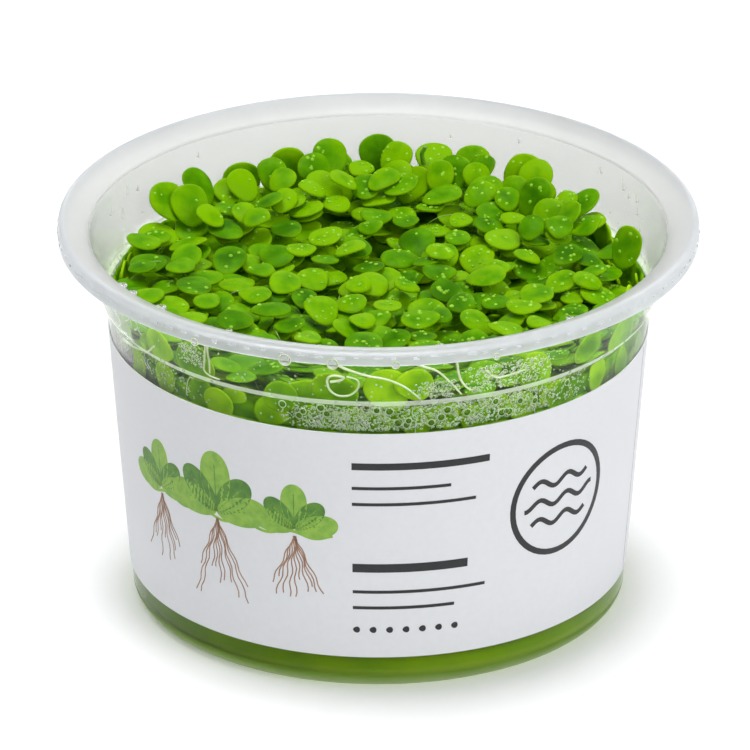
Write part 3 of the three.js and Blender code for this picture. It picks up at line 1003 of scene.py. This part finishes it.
def add_frond(pile, frond, draw, tint):
    """A frond as a thin cushion with a rounded rim, a little bent and cupped."""
    turns = even_turns(FROND_SIDES)
    taper = FROND_TAPER + draw.uniform(0.0, 0.12)
    length, width = frond.length, frond.width
    crown = length * CROWN_SHARE
    waist = 0.97 + 0.05 * np.sin(2 * turns + draw.uniform(0, TURN))
    waist += 0.03 * np.sin(3 * turns + draw.uniform(0, TURN))
    rim_s = length / 2 * (1 - np.cos(turns))
    rim_t = width / 2 * np.sin(turns) * (1 - taper * np.cos(turns)) * waist
    height = FROND_CROWN - draw.uniform(0.02, 0.2)
    bend, cup = draw.uniform(-0.34, 0.22), draw.uniform(-0.32, 0.2)
    edge = FROND_EDGE * 0.9

    def place(s, t, h):
        curve = bend * (2 * s / length - 1) ** 2 + cup * (2 * t / width) ** 2
        return frond.point(s, t, h + curve)

    levels = [(r, edge + (height - edge) * (1 - r * r) ** 0.85, r) for r in TOP_SHARES]
    levels.append((1.0, 0.0, 1.0))
    levels += [(r, -edge, 2 - r) for r in LOW_SHARES]
    rings = [place(crown + (rim_s - crown) * r, rim_t * r, h) for r, h, _ in levels]
    ends = [place(crown, 0.0, h) for h in (height, -edge)]
    along = [(crown + (rim_s - crown) * r) / length for r, _, _ in levels]
    over = [np.full(FROND_SIDES, o) for _, _, o in levels]
    looks = [(tint, 0.0, CROWN_SHARE), (tint, 2.0, CROWN_SHARE)]
    looks += list(zip(np.full(len(levels) * FROND_SIDES, tint), np.ravel(over), np.ravel(along)))
    pile.add(shell_points(*ends, rings), FROND_FACES, np.array(looks))


def single_frond(draw, place, heading, pitch, roll, lengths, lean):
    length = draw.uniform(*lengths)
    spec = dict(offset=0.0, pitch=pitch, roll=roll, length=length, width=length * draw.uniform(0.78, 0.94))
    return pose_frond(spec, place, heading, lean)


def inside_wall(frond, room=0.25):
    for h in (FROND_CROWN, 0):
        for x, y, z in frond.probes(h):
            if math.hypot(x, y) > inner_radius(z) - room:
                return False
    return True


def settle(frond, heap, ground, gap):
    """Sets a single frond down where it is."""
    frond.base[2] += lift_needed([frond], heap.near(frond.base, SINGLE_REACH), ground, gap)


def clear_of(frond, others):
    """Whether a frond stays out of the others' thickness."""
    def hits(points, f):
        away = points - f.base
        s, t, h = away @ f.along, away @ f.side, away @ f.up
        cosine = 1 - 2 * s / f.length
        half = f.width / 2 * np.sqrt(np.clip(1 - cosine * cosine, 0, 1)) * (1 - FROND_TAPER * cosine)
        return ((np.abs(cosine) < 1) & (np.abs(t) < half) & (h > -0.25) & (h < 0.55)).any()

    if not others:
        return True
    middles = np.array([f.base + f.along * f.length / 2 for f in others])
    away = np.linalg.norm(middles - frond.base - frond.along * frond.length / 2, axis=1)
    mine = np.concatenate([frond.probes(h) for h in (-0.1, 0.4)])
    for k in np.flatnonzero(away < 7.2):
        theirs = np.concatenate([others[k].probes(h) for h in (-0.1, 0.4)])
        if hits(mine, others[k]) or hits(theirs, frond):
            return False
    return True


def upright_frond(draw, bearing, z, inset, lean, lengths):
    """A frond flat against the inner wall, with its upper side to the wall."""
    turn = math.radians(bearing)
    out = unit(np.array(on_circle(1, turn, draw.uniform(*lean))))
    level = np.array([-math.sin(turn), math.cos(turn), 0.0])
    steep = np.cross(out, level)
    spin = draw.uniform(0, TURN)
    along = unit(math.cos(spin) * level + math.sin(spin) * steep + 0.06 * draw.uniform(-1, 1) * out)
    side = unit(np.cross(out, along))
    length = draw.uniform(*lengths)
    base = np.array(on_circle(inner_radius(z) - inset, turn, z)) - along * length / 2
    return Frond(base, along, side, np.cross(along, side), length, length * draw.uniform(0.78, 0.94))


# Fronds between and under the colonies
WALL_TOPS = (56.4, 53.6, 54.6)  # at the front, the sides and the back
WALL_TRIES = 4200
WALL_ROWS = 5
WALL_ROW_COUNT = 50
CORE_TOP = 47.2
CORE_INSET = 2.0
CORE_RINGS = 13
BACK_BANK = 2.2
LOWER_TRIES = 900
TOP_COUNT = 165
BACK_FILL = 80
TOP_TRIES = 7
TOP_LEAN = 7
HEAP_TOP = 54.2
BACK_TRIES = 260
BACK_TOP = 54.4


def lay_wall_fronds(heap, draw):
    """Fronds pressed flat on the inner wall: packed rows first, then four depths as far as they find room."""
    laid = []
    for number in range(WALL_TRIES):
        bearing = draw.uniform(0, 360)
        back = math.sin(math.radians(bearing))
        top = WALL_TOPS[int(back > -0.35) + int(back > 0.4)]
        z = draw.uniform(45.6, top - 2.2)
        depth = 0.75 + 0.55 * (number % 4)
        lengths = (7.2, 8.8) if number < WALL_TRIES / 3 else (5.8, 8.2)
        if number < WALL_ROWS * WALL_ROW_COUNT:
            row = number // WALL_ROW_COUNT
            bearing = (number + 0.5 * (row % 2) + draw.uniform(-0.2, 0.2)) / WALL_ROW_COUNT * 360
            z, depth, lengths = 45.8 + 0.35 * row, 0.6 + 0.55 * row, (4.9, 5.8)
        frond = upright_frond(draw, bearing, z, depth, (-0.12, 0.3), lengths)
        heights = frond.probes(0)[:, 2]
        if heights.min() < MAT_BOTTOM - 0.2 or heights.max() > top or not inside_wall(frond, 0.12):
            continue
        if clear_of(frond, [*heap.fronds, *laid]):
            laid.append(frond)
    return laid


def lower_ground(x, y):
    """Where the lower fronds start: deep at the wall, and on the tangled core inside it."""
    return np.where(np.hypot(x, y) > inner_radius(CORE_TOP) - CORE_INSET, MAT_BOTTOM + 0.3, CORE_TOP - 0.8)


def lay_lower_fronds(heap, wall, draw):
    """Fronds under the colonies, set down until no more fit below the mat's top."""
    for number in range(LOWER_TRIES):
        rim = number % 3 > 0
        radius = draw.uniform(34, 39.5) if rim else 35 * math.sqrt(draw.uniform(0, 1))
        turn = draw.uniform(0, TURN)
        place = on_circle(radius, turn, MAT_BOTTOM)
        heading, pitch, roll = draw.uniform(0, TURN), draw.uniform(-12, 22), draw.uniform(-16, 16)
        frond = single_frond(draw, place, heading, pitch, roll, (4.8, 6.6), 6)
        settle(frond, heap, lower_ground, 0.12)
        if frond.base[2] > MAT_LEVEL + 1 or not inside_wall(frond):
            continue
        x, y, z = frond.probes(FROND_CROWN).T
        if np.all(z < np.minimum(mat_top(x, y) + 0.25, SHOULDER_HEIGHT - 0.4)) and clear_of(frond, wall):
            heap.fronds.append(frond)


def lay_top_fronds(heap, wall, draw):
    """Fronds that fill the hollows between the colonies, each the lowest of a few tries."""
    laid = []
    for number in range(TOP_COUNT + BACK_FILL):
        found = []
        behind = number >= TOP_COUNT
        for _ in range(TOP_TRIES):
            radius = draw.uniform(25, 39) if behind else 40.5 * math.sqrt(draw.uniform(0, 1))
            turn = math.radians(draw.uniform(15, 150)) if behind else draw.uniform(0, TURN)
            place = on_circle(radius, turn, MAT_LEVEL)
            heading, pitch, roll = draw.uniform(0, TURN), draw.uniform(-8, 16), draw.uniform(-13, 13)
            if behind:
                heading, pitch = math.pi / 2 + draw.uniform(-1.5, 1.5), draw.uniform(-2, 26)
            frond = single_frond(draw, place, heading, pitch, roll, (4.3, 6.8), TOP_LEAN)
            settle(frond, heap, mat_top, 0.15)
            if inside_wall(frond) and clear_of(frond, wall):
                found.append(frond)
        if found:
            best = min(found, key=lambda f: f.base[2] + 0.5 * f.along[2] * f.length)
            if best.base[2] < HEAP_TOP + 1.2 * behind:
                heap.fronds.append(best)
                laid.append(best)
    return laid


def lay_back_fronds(heap, wall, draw):
    """Fronds that lean up between the standing ones, against the back wall."""
    laid = []
    for _ in range(BACK_TRIES):
        bearing = draw.uniform(25, 150)
        turn = math.radians(bearing)
        radius = draw.uniform(31, 38.5)
        place = on_circle(radius, turn, MAT_LEVEL)
        heading = turn + math.radians(draw.uniform(-50, 50))
        frond = single_frond(draw, place, heading, draw.uniform(8, 48), draw.uniform(-18, 18), (5.2, 7.2), 6)
        settle(frond, heap, mat_top, 0.12)
        if inside_wall(frond) and frond.base[2] < BACK_TOP and clear_of(frond, [*heap.fronds, *wall]):
            heap.fronds.append(frond)
            laid.append(frond)
    return laid


def painted_back_light(frond):
    """Painted light: fronds more than 14 mm behind the middle get a lighter tint."""
    return 0.22 if frond.base[1] > 14 else 0.0


def pile_of(fronds, draw, tints, lit=True, base=0.0):
    """A pile of fronds, each with a tint of its own; where lit is set, those at the back get a painted
    lighter tint.
    """
    pile = Pile()
    for frond in fronds:
        add_frond(pile, frond, draw, base + draw.uniform(*tints) + (painted_back_light(frond) if lit else 0.0))
    return pile


def make_plants():
    """Returns the fronds on top, for the drops on them."""
    heap = Heap()
    colonies = place_colonies(heap)
    draw = draws("tints")
    for name, colony in colonies.items():
        pile = pile_of(colony, draw, (-0.22, 0.28), base=draw.uniform(0.3, 0.72))
        pile.piece(name + "_fronds", FROND, "fronds", [name])
    wall = lay_wall_fronds(heap, draws("wall"))
    under = Heap()
    lay_lower_fronds(under, wall, draws("lower"))
    pile = pile_of(under.fronds, draw, (0.1, 0.9), lit=False)
    pile.piece("lower_fronds", UNDER_PAINTED_LIGHT, "lower_fronds", ["frond_mat"])
    back = lay_back_fronds(heap, wall, draws("back"))
    top = lay_top_fronds(heap, wall, draws("top"))
    pile_of(back, draw, (0.1, 0.95)).piece("leaning_fronds", FROND, "fronds")
    pile_of(top, draw, (0.1, 0.95)).piece("filling_fronds", FROND, "fronds")
    pile_of(wall, draw, (0.15, 0.8), lit=False).piece("wall_fronds", UNDER_PAINTED_LIGHT, "lower_fronds")
    return heap.fronds


def make_core():
    """Old fronds and roots, tangled into one mass under and behind the fronds that show."""
    sides = 120
    draw = draws("core")
    edge = inner_radius(CORE_TOP) - CORE_INSET
    levels = [(r, CORE_TOP) for r in np.linspace(3, edge - 1, CORE_RINGS)]
    levels += [(edge, CORE_TOP - 0.7), (edge - 0.15, CORE_TOP - 2), (edge - 0.5, MAT_BOTTOM + 0.5)]
    levels += [(36, MAT_BOTTOM + 0.3), (16, MAT_BOTTOM + 0.2)]
    points, looks = [], [(0.1, 0.3, 0.6)] * 2
    for number, (r, z) in enumerate(levels):
        for turn, lump in zip(even_turns(sides), draw.uniform(-1, 1, sides) * min(1, r / 12)):
            bank = BACK_BANK * np.clip(2.5 * math.sin(turn) - 0.4, 0, 1) * np.clip((r - 29) / 4, 0, 1)
            out, rise = (r, 0.5 * lump) if number < CORE_RINGS else (r + 0.25 * lump, 0.1 * lump)
            x, y, top = on_circle(out, turn, z + rise + (bank if z > CORE_TOP - 1 else 0))
            points.append((x, y, min(top, mat_top(x, y) - 0.35)))
            looks.append((0.3 + 0.3 * lump, 0.3, 0.6))
    pile = Pile()
    ends = (0, 0, CORE_TOP), (0, 0, MAT_BOTTOM + 0.2)
    pile.add(shell_points(*ends, points), shell_faces(len(levels), sides), np.array(looks))
    pile.piece("tangled_core", UNDER_PAINTED_LIGHT, "lower_fronds")


# Leaf bits at the wall, and old matter in the liquid
TIDE_TURNS = (math.radians(-38), math.radians(218))
TIDE_TOP = 51.3
TIDE_FOOT = 46.4
TIDE_GAP = 0.12
TIDE_BITS = 90
SHELF_HEIGHT = 44.3


def add_strip(pile, turns, sections, tints):
    looks = [(0.2, 0.3, 0.6)] * 2 + [(tint, 0.3, 0.6) for tint in tints for _ in sections[0]]
    pile.add(*strip(turns, sections), np.array(looks))


def make_tide_line():
    """Leaf bits and wet on the wall round the sides and the back, and a low shelf of them in front."""
    draw = draws("tide")
    pile = Pile()
    turns = np.linspace(*TIDE_TURNS, 180)
    wave = 0.25 * np.sin(turns * 23) + 0.15 * np.sin(turns * 57 + 1)
    sections = []
    for turn, high in zip(turns, TIDE_TOP + wave + draw.uniform(-0.15, 0.15, len(turns))):
        ahead = min(max(-math.sin(turn) / 0.3, 0), 1)
        far = inner_radius(SHOULDER_HEIGHT - 1) - TIDE_GAP - 1.7 * ahead
        high -= 1.5 * ahead
        foot = inner_radius(TIDE_FOOT) - TIDE_GAP - 1.7 * ahead
        section = [(foot, TIDE_FOOT), (far, high - 0.3), (far - 0.2, high), (far - 0.5, high - 0.4)]
        section += [(far - 0.8, 48), (far - 2.9, 47.2), (far - 2.9, TIDE_FOOT)]
        dive = 2.6 * min(max(-math.sin(turn) / 0.3 - 1, 0), 1)
        sections.append([(r, z - dive) for r, z in section])
    add_strip(pile, turns, sections, draw.uniform(0.0, 0.5, len(turns)))
    turns = np.linspace(TIDE_TURNS[1] - TURN, TIDE_TURNS[0], 80)
    far = inner_radius(SHELF_HEIGHT) - 0.3
    near = far - 4
    low = SHELF_HEIGHT - 0.8
    shelf = [(far, low), (far, SHELF_HEIGHT), (near, SHELF_HEIGHT + 0.5), (near, low)]
    add_strip(pile, turns, [shelf] * len(turns), draw.uniform(0.2, 0.9, len(turns)))
    for turn in np.linspace(*TIDE_TURNS, TIDE_BITS):
        bearing = math.degrees(turn) + draw.uniform(-1, 1)
        bit = upright_frond(draw, bearing, draw.uniform(50, 51.4), 1.35, (-0.1, 0.25), (2.6, 4.0))
        if inside_wall(bit, 0.1):
            add_frond(pile, bit, draw, draw.uniform(0.0, 0.35))
    pile.piece("tide_line", UNDER_PAINTED_LIGHT, "lower_fronds")


def make_settled():
    """A green ring of old roots and leaves that has settled low in the liquid."""
    draw = draws("settled")
    sides = 160
    section = [(24, FLOOR + 0.3), *corner_arc(FLOOR + 0.3, 6)]
    section += [(inner_radius(9) - 0.3, 9), (inner_radius(11) - 1.2, 11), (inner_radius(12) - 4, 11.8)]
    section += [(31, 8), (27, 3.2), (24, 2)]
    rings = []
    for turn in even_turns(sides):
        lump = draw.uniform(-0.08, 0.04)
        rings.append([on_circle(r + lump, turn, z) for r, z in section])
    pile = Pile()
    pile.add(np.reshape(rings, (-1, 3)), [loop_faces(sides, len(section))[:, ::-1]])
    pile.piece("settled_matter", SETTLED, "lower_fronds")


# Roots
SHORT_ROOTS = 9
WALL_STRANDS = [  # bearing, height
    [
        (-9.7, 54.3), (-7.7, 54.7), (-7, 55.3), (-9.2, 55.5), (-10.3, 54.6), (-9.9, 52.8), (-8.2, 51.8),
        (-5.8, 52), (-4.1, 53.4), (-4.2, 54.9), (-6.4, 55.5),
    ],
    [(-8.5, 57.8), (-6.4, 56.9), (-2.5, 55.8), (1.4, 55.1), (4.4, 54), (6.4, 52.8), (8.6, 51.1)],
    [(5.5, 58.4), (9, 57.2), (11.8, 56.1), (14.6, 53.8), (17.2, 51.3)],
    [(15.2, 59), (15.7, 57), (16.6, 54.3), (18.6, 52.2), (21.5, 51.3)],
    [(-36, 59), (-36.7, 56.7), (-37.6, 54), (-38.2, 52.2), (-37, 51.4), (-34.5, 51.2)],
    [(-35.4, 58.6), (-36.2, 56.5), (-36.4, 54), (-36.8, 51.9)],
    [(-72, 47.9), (-64, 48.9), (-57.5, 50.3), (-52.5, 52.8)],
    [(22, 55.2), (24.1, 53.6), (26.7, 53.4), (30.9, 53.8)],
]
THREADS_BEFORE = 22


def wall_point(bearing, z, inset=0.0):
    """A place on the inner wall, bearing in degrees to the right of the front."""
    return np.array(on_circle(inner_radius(z) - inset, math.radians(bearing - 90), z))


def make_roots():
    """Pale roots that cling to the inner wall, and short ones among the lower fronds."""
    draw = draws("roots")
    pile = Pile()
    for strand in WALL_STRANDS:
        path = smooth_path([wall_point(b, z, 0.25) for b, z in strand])
        pile.add(*tube(path, 0.24, 8, 0.6))
    for k in range(SHORT_ROOTS):
        bearing = (k + draw.uniform(-0.3, 0.3)) / SHORT_ROOTS * 360
        z, way = draw.uniform(47.2, 49.7), draw.choice((-1, 1)) * draw.uniform(0.5, 2.5)
        strand = [(bearing + way * s + 0.8 * s * s, z - 3.2 * s ** 1.5) for s in (0, 0.35, 0.7, 1)]
        path = smooth_path([wall_point(b, max(h, 43.7), 0.22) for b, h in strand], 5)
        pile.add(*tube(path, 0.11, 5, 0.5))
    pile.piece("roots", ROOT, "fronds")


def make_threads(fronds):
    """Fine roots that hang from the bases of fronds on the heap."""
    draw = draws("threads")
    pile = Pile()
    for frond in fronds[::6]:
        if frond.base[1] > THREADS_BEFORE:
            continue
        turn = draw.uniform(0, TURN)
        way = np.array([math.cos(turn), math.sin(turn), 0])
        bend = np.array([-way[1], way[0], 0]) * draw.uniform(-0.8, 0.8)
        length = draw.uniform(2, 5)
        start = frond.base - 0.15 * frond.up
        shares = np.linspace(0, 1, 7)
        path = np.array([start + length * s * way + bend * s * s - (0, 0, 2.2 * s * s) for s in shares])
        if np.hypot(path[:, 0], path[:, 1]).max() < 40:
            pile.add(*tube(path, 0.1, 5, 0.5))
    pile.piece("fine_roots", THREAD, "fronds")


# Water, foam and dried drops
DROPS_PER_FROND = 5.0
DROP_CROWN = 0.42
BIG_BUBBLES = 22
FOAM_PATCHES = [  # bearing of the middle, half the spread, lowest, highest, count
    (14, 38, 45.4, 49.8, 1700), (-9, 13, 45.4, 49, 420), (28, 11, 51.4, 56, 420), (12, 5, 51.4, 54.2, 150),
    (-41, 4, 52.4, 56.2, 150), (-52, 14, 45.8, 49.8, 110), (0, 60, 45.5, 56.7, 130),
    (180, 100, 45.7, 54.2, 100),
]
LIP_DROPS = [  # bearing, drop, size
    (-16.5, 1.1, 0.95), (-8, 1.0, 0.85), (3, 0.5, 0.6), (21, 0.45, 0.5), (-34, 0.6, 0.6),
]
LIP_DROP_RADIUS = 49.1
MOUTH_DROPS = [(-60, 0.9), (-47, 1.0), (-56, 0.8), (-30, 0.6), (12, 0.5), (40, 0.7)]  # bearing, size
MOUTH_DROP_RADIUS = 45.4
SMEARS = [  # bearing, height, length, lean
    (120, 58.6, 1.6, 0.7), (117, 57.8, 1.1, 0.5), (114, 58.2, 1.2, 0.8), (109, 54.6, 1.9, 0.6),
    (112, 56.4, 1.0, 0.4), (-108, 57.6, 1.0, -0.6), (-117, 58.4, 1.3, -0.7), (-121, 57.8, 0.9, -0.5),
    (-113, 55.8, 1.4, -0.5), (128, 58.8, 0.9, 0.6), (150, 59, 0.7, 0.4), (-140, 58.6, 0.8, -0.4),
    (165, 58, 0.6, 0.2),
]
LEFT_STREAKS = 18
STREAK_BEARINGS = (-84, -56)


def make_leaf_drops(fronds, draw):
    pile = Pile()
    for frond in fronds:
        share = 0.35 + 0.65 * (frond.base[0] > -12)
        for _ in range(draw.poisson(DROPS_PER_FROND * share)):
            r, turn = 0.8 * math.sqrt(draw.uniform(0, 1)), draw.uniform(0, TURN)
            s, t = frond.outline(turn)
            crown = frond.length * CROWN_SHARE
            h = FROND_EDGE + (DROP_CROWN - FROND_EDGE) * (1 - r * r)
            place = frond.point(crown + (s - crown) * r, t * r, h)
            size = draw.uniform(0.18, 0.42)
            pile.add(*bead(place, frond.up, size, size * 0.6, 8))
    pile.piece("leaf_drops", LEAF_WATER, "liquid", shadow=False)


def inward_from(place):
    """From a place on the wall to the axis, level and one long."""
    return -place * (1, 1, 0) / math.hypot(place[0], place[1])


def make_foam(draw):
    """Beads and bubbles on the inner wall, each ringed with a painted highlight."""
    pile, highlight_rims, middles = Pile(), Pile(), Pile()
    for middle, spread, low, high, count in FOAM_PATCHES:
        for _ in range(count):
            bearing = middle + spread * draw.uniform(-1, 1) * draw.uniform(0.5, 1)
            place = wall_point(bearing, draw.uniform(low, high))
            size = draw.uniform(0.06, 0.15) if draw.uniform() < 0.93 else draw.uniform(0.22, 0.42)
            inward = inward_from(place)
            if size > 0.13:
                pile.add(*bead(place, inward, size, size * 0.7, 6))
            highlight_rims.add(*ring_shape(place + 0.12 * inward, inward, size, 0.045, 7 if size < 0.2 else 12, 3))
    for _ in range(BIG_BUBBLES):
        place = wall_point(draw.uniform(-22, 44), draw.uniform(46.2, 49.2))
        size = draw.uniform(0.42, 0.62)
        inward = inward_from(place)
        pile.add(*bead(place, inward, size, 0.3, 14))
        middles.add(*bead(place + 0.05 * inward, inward, 0.8 * size, 0.2, 14))
        highlight_rims.add(*ring_shape(place + 0.1 * inward, inward, size, 0.1, 18))
    pile.piece("wall_beads", WATER, "liquid", shadow=False)
    highlight_rims.piece("bubble_rim_highlights", RIM_HIGHLIGHT, "liquid")
    middles.piece("bubble_middles", FROND, "liquid")


def make_lip_drops():
    """Drops under and on the lip's skirt, and round the mouth; the drops on the skirt are ringed with a
    painted highlight.
    """
    pile, highlight_rims = Pile(), Pile()
    for bearing, drop, size in LIP_DROPS:
        out = np.array(on_circle(1, math.radians(bearing - 90), 0))
        under = LIP_DROP_RADIUS * out + (0, 0, SKIRT_BOTTOM + 0.05)
        pile.add(*bead(under, (0, 0, -1), min(size, 0.85), drop * 0.8, 14))
        face = SKIRT_RADIUS * out + (0, 0, SKIRT_BOTTOM + 0.25)
        pile.add(*bead(face + 0.01 * out, out, size, 0.12, 16))
        highlight_rims.add(*ring_shape(face + 0.05 * out, out, size, 0.075, 20))
    for bearing, size in MOUTH_DROPS:
        place = on_circle(MOUTH_DROP_RADIUS, math.radians(bearing - 90), MOUTH_HEIGHT + 0.12)
        pile.add(*bead(np.array(place), (0, 0, 1), size, size * 0.5, 12))
    pile.piece("lip_drops", WATER, "liquid", shadow=False)
    highlight_rims.piece("lip_drop_rim_highlights", RIM_HIGHLIGHT, "liquid")


def make_water(top_fronds):
    draw = draws("water")
    make_leaf_drops(top_fronds, draw)
    make_foam(draw)
    make_lip_drops()


def make_smears():
    """Dried drops on the bare inner wall, and fine streaks on it at the left."""
    pile = Pile()
    ways = np.linspace(-0.5, 0.5, 7)
    for bearing, z, length, lean in SMEARS:
        path = np.array([wall_point(bearing + lean * length * w * 1.6, z + length * w) for w in ways])
        pile.add(*tube(path, 0.22, 7, 0.3))
    draw = draws("streaks")
    for _ in range(LEFT_STREAKS):
        bearing, z = draw.uniform(*STREAK_BEARINGS), draw.uniform(47, 57.5)
        bend, length = draw.uniform(-2.5, 2.5), draw.uniform(1, 3)
        path = np.array([wall_point(bearing + bend * w * w * 4, z + length * w, 0.1) for w in ways])
        pile.add(*tube(path, draw.uniform(0.1, 0.2), 7, 0.4))
    pile.piece("dried_smears", SMEAR, "liquid", shadow=False)


def make_stalk():
    """A thin stalk that stands up behind the heap."""
    path = smooth_path([(7.3, 37.2, 53.4), (7.2, 37.4, 55.4), (6.9, 37.4, 57.2), (7.5, 37.2, 58.6)])
    pile = Pile()
    pile.add(*tube(path, 0.42, 8, 0.8))
    pile.piece("stalk", STALK, "fronds")


# Floor, light and camera
FLOOR_GLOW = 0.1  # lit a little from below, as on a light table
FLOOR_HALF = 4.0
WORLD_GREYS = ((0.24, 0.75), (0.42, 0.3))  # sine of the height above the horizon, brightness
CAMERA_PLACE = (0, -1.3735, 0.6657)
CAMERA_LOWERED = 24.64
CAMERA_YAW = 0.0225
LENS = 463.5


def make_stage():
    mesh = bpy.data.meshes.new("floor")
    corners = [(x * FLOOR_HALF, y * FLOOR_HALF, 0) for x, y in ((-1, -1), (1, -1), (1, 1), (-1, 1))]
    mesh.from_pydata(corners, [], [(0, 1, 2, 3)])
    floor = bpy.data.objects.new("floor", mesh)
    floor.location.z = -0.00002
    material = new_material(
        "floor_paint",
        Specular_IOR_Level=0.1,
        Emission_Color=(1, 1, 1, 1),
        Emission_Strength=FLOOR_GLOW,
    )
    greys = [(0.3, (0.92, 0.92, 0.925)), (0.7, (0.94, 0.94, 0.94))]
    paint(material, noise(material, 6, 2.0), greys, (0.8, 0.9))
    mesh.materials.append(material)
    bpy.context.scene.collection.objects.link(floor)


def make_light(name, place, size, energy):
    data = bpy.data.lights.new(name, "AREA")
    data.shape = "DISK"
    data.size = size
    data.energy = energy
    light = bpy.data.objects.new(name, data)
    light.location = place
    light.rotation_mode = "QUATERNION"
    light.rotation_quaternion = light.location.to_track_quat("Z", "Y")
    light.visible_camera = False
    bpy.context.scene.collection.objects.link(light)


def make_world():
    world = bpy.data.worlds.new("studio")
    bpy.context.scene.world = world
    world.use_nodes = True
    background = world.node_tree.nodes["Background"]
    tree = world.node_tree
    coordinates = tree.nodes.new("ShaderNodeTexCoord")
    split = tree.nodes.new("ShaderNodeSeparateXYZ")
    fade = tree.nodes.new("ShaderNodeValToRGB")
    for element, (place, grey) in zip(fade.color_ramp.elements, WORLD_GREYS):
        element.position = place
        element.color = (grey * 0.97, grey * 0.985, grey, 1)
    tree.links.new(coordinates.outputs["Generated"], split.inputs["Vector"])
    tree.links.new(split.outputs["Z"], fade.inputs["Fac"])
    tree.links.new(fade.outputs["Color"], background.inputs["Color"])
    background.inputs["Strength"].default_value = 1.0


def make_camera():
    data = bpy.data.cameras.new("camera")
    data.lens = LENS
    data.sensor_width = 36
    data.clip_start, data.clip_end = 0.05, 50
    camera = bpy.data.objects.new("camera", data)
    yaw = Matrix.Rotation(math.radians(CAMERA_YAW), 4, "Z")
    tilt = Matrix.Rotation(math.radians(90 - CAMERA_LOWERED), 4, "X")
    camera.matrix_world = Matrix.Translation(CAMERA_PLACE) @ yaw @ tilt
    bpy.context.scene.collection.objects.link(camera)
    bpy.context.scene.camera = camera


make_tub()
make_lip_marks()
make_liquid()
make_label()
make_print()
top_fronds = make_plants()
make_core()
make_tide_line()
make_settled()
make_roots()
make_threads(top_fronds)
make_water(top_fronds)
make_smears()
make_stalk()
make_stage()
make_light("key", (-0.15, 0.1, 1.25), 0.6, 9.0)
make_light("fill", (0.65, -0.75, 0.8), 0.8, 5.5)
make_light("back", (0.3, 0.9, 0.9), 0.8, 2.0)
make_world()
make_camera()
bpy.context.scene.view_settings.view_transform = "Standard"
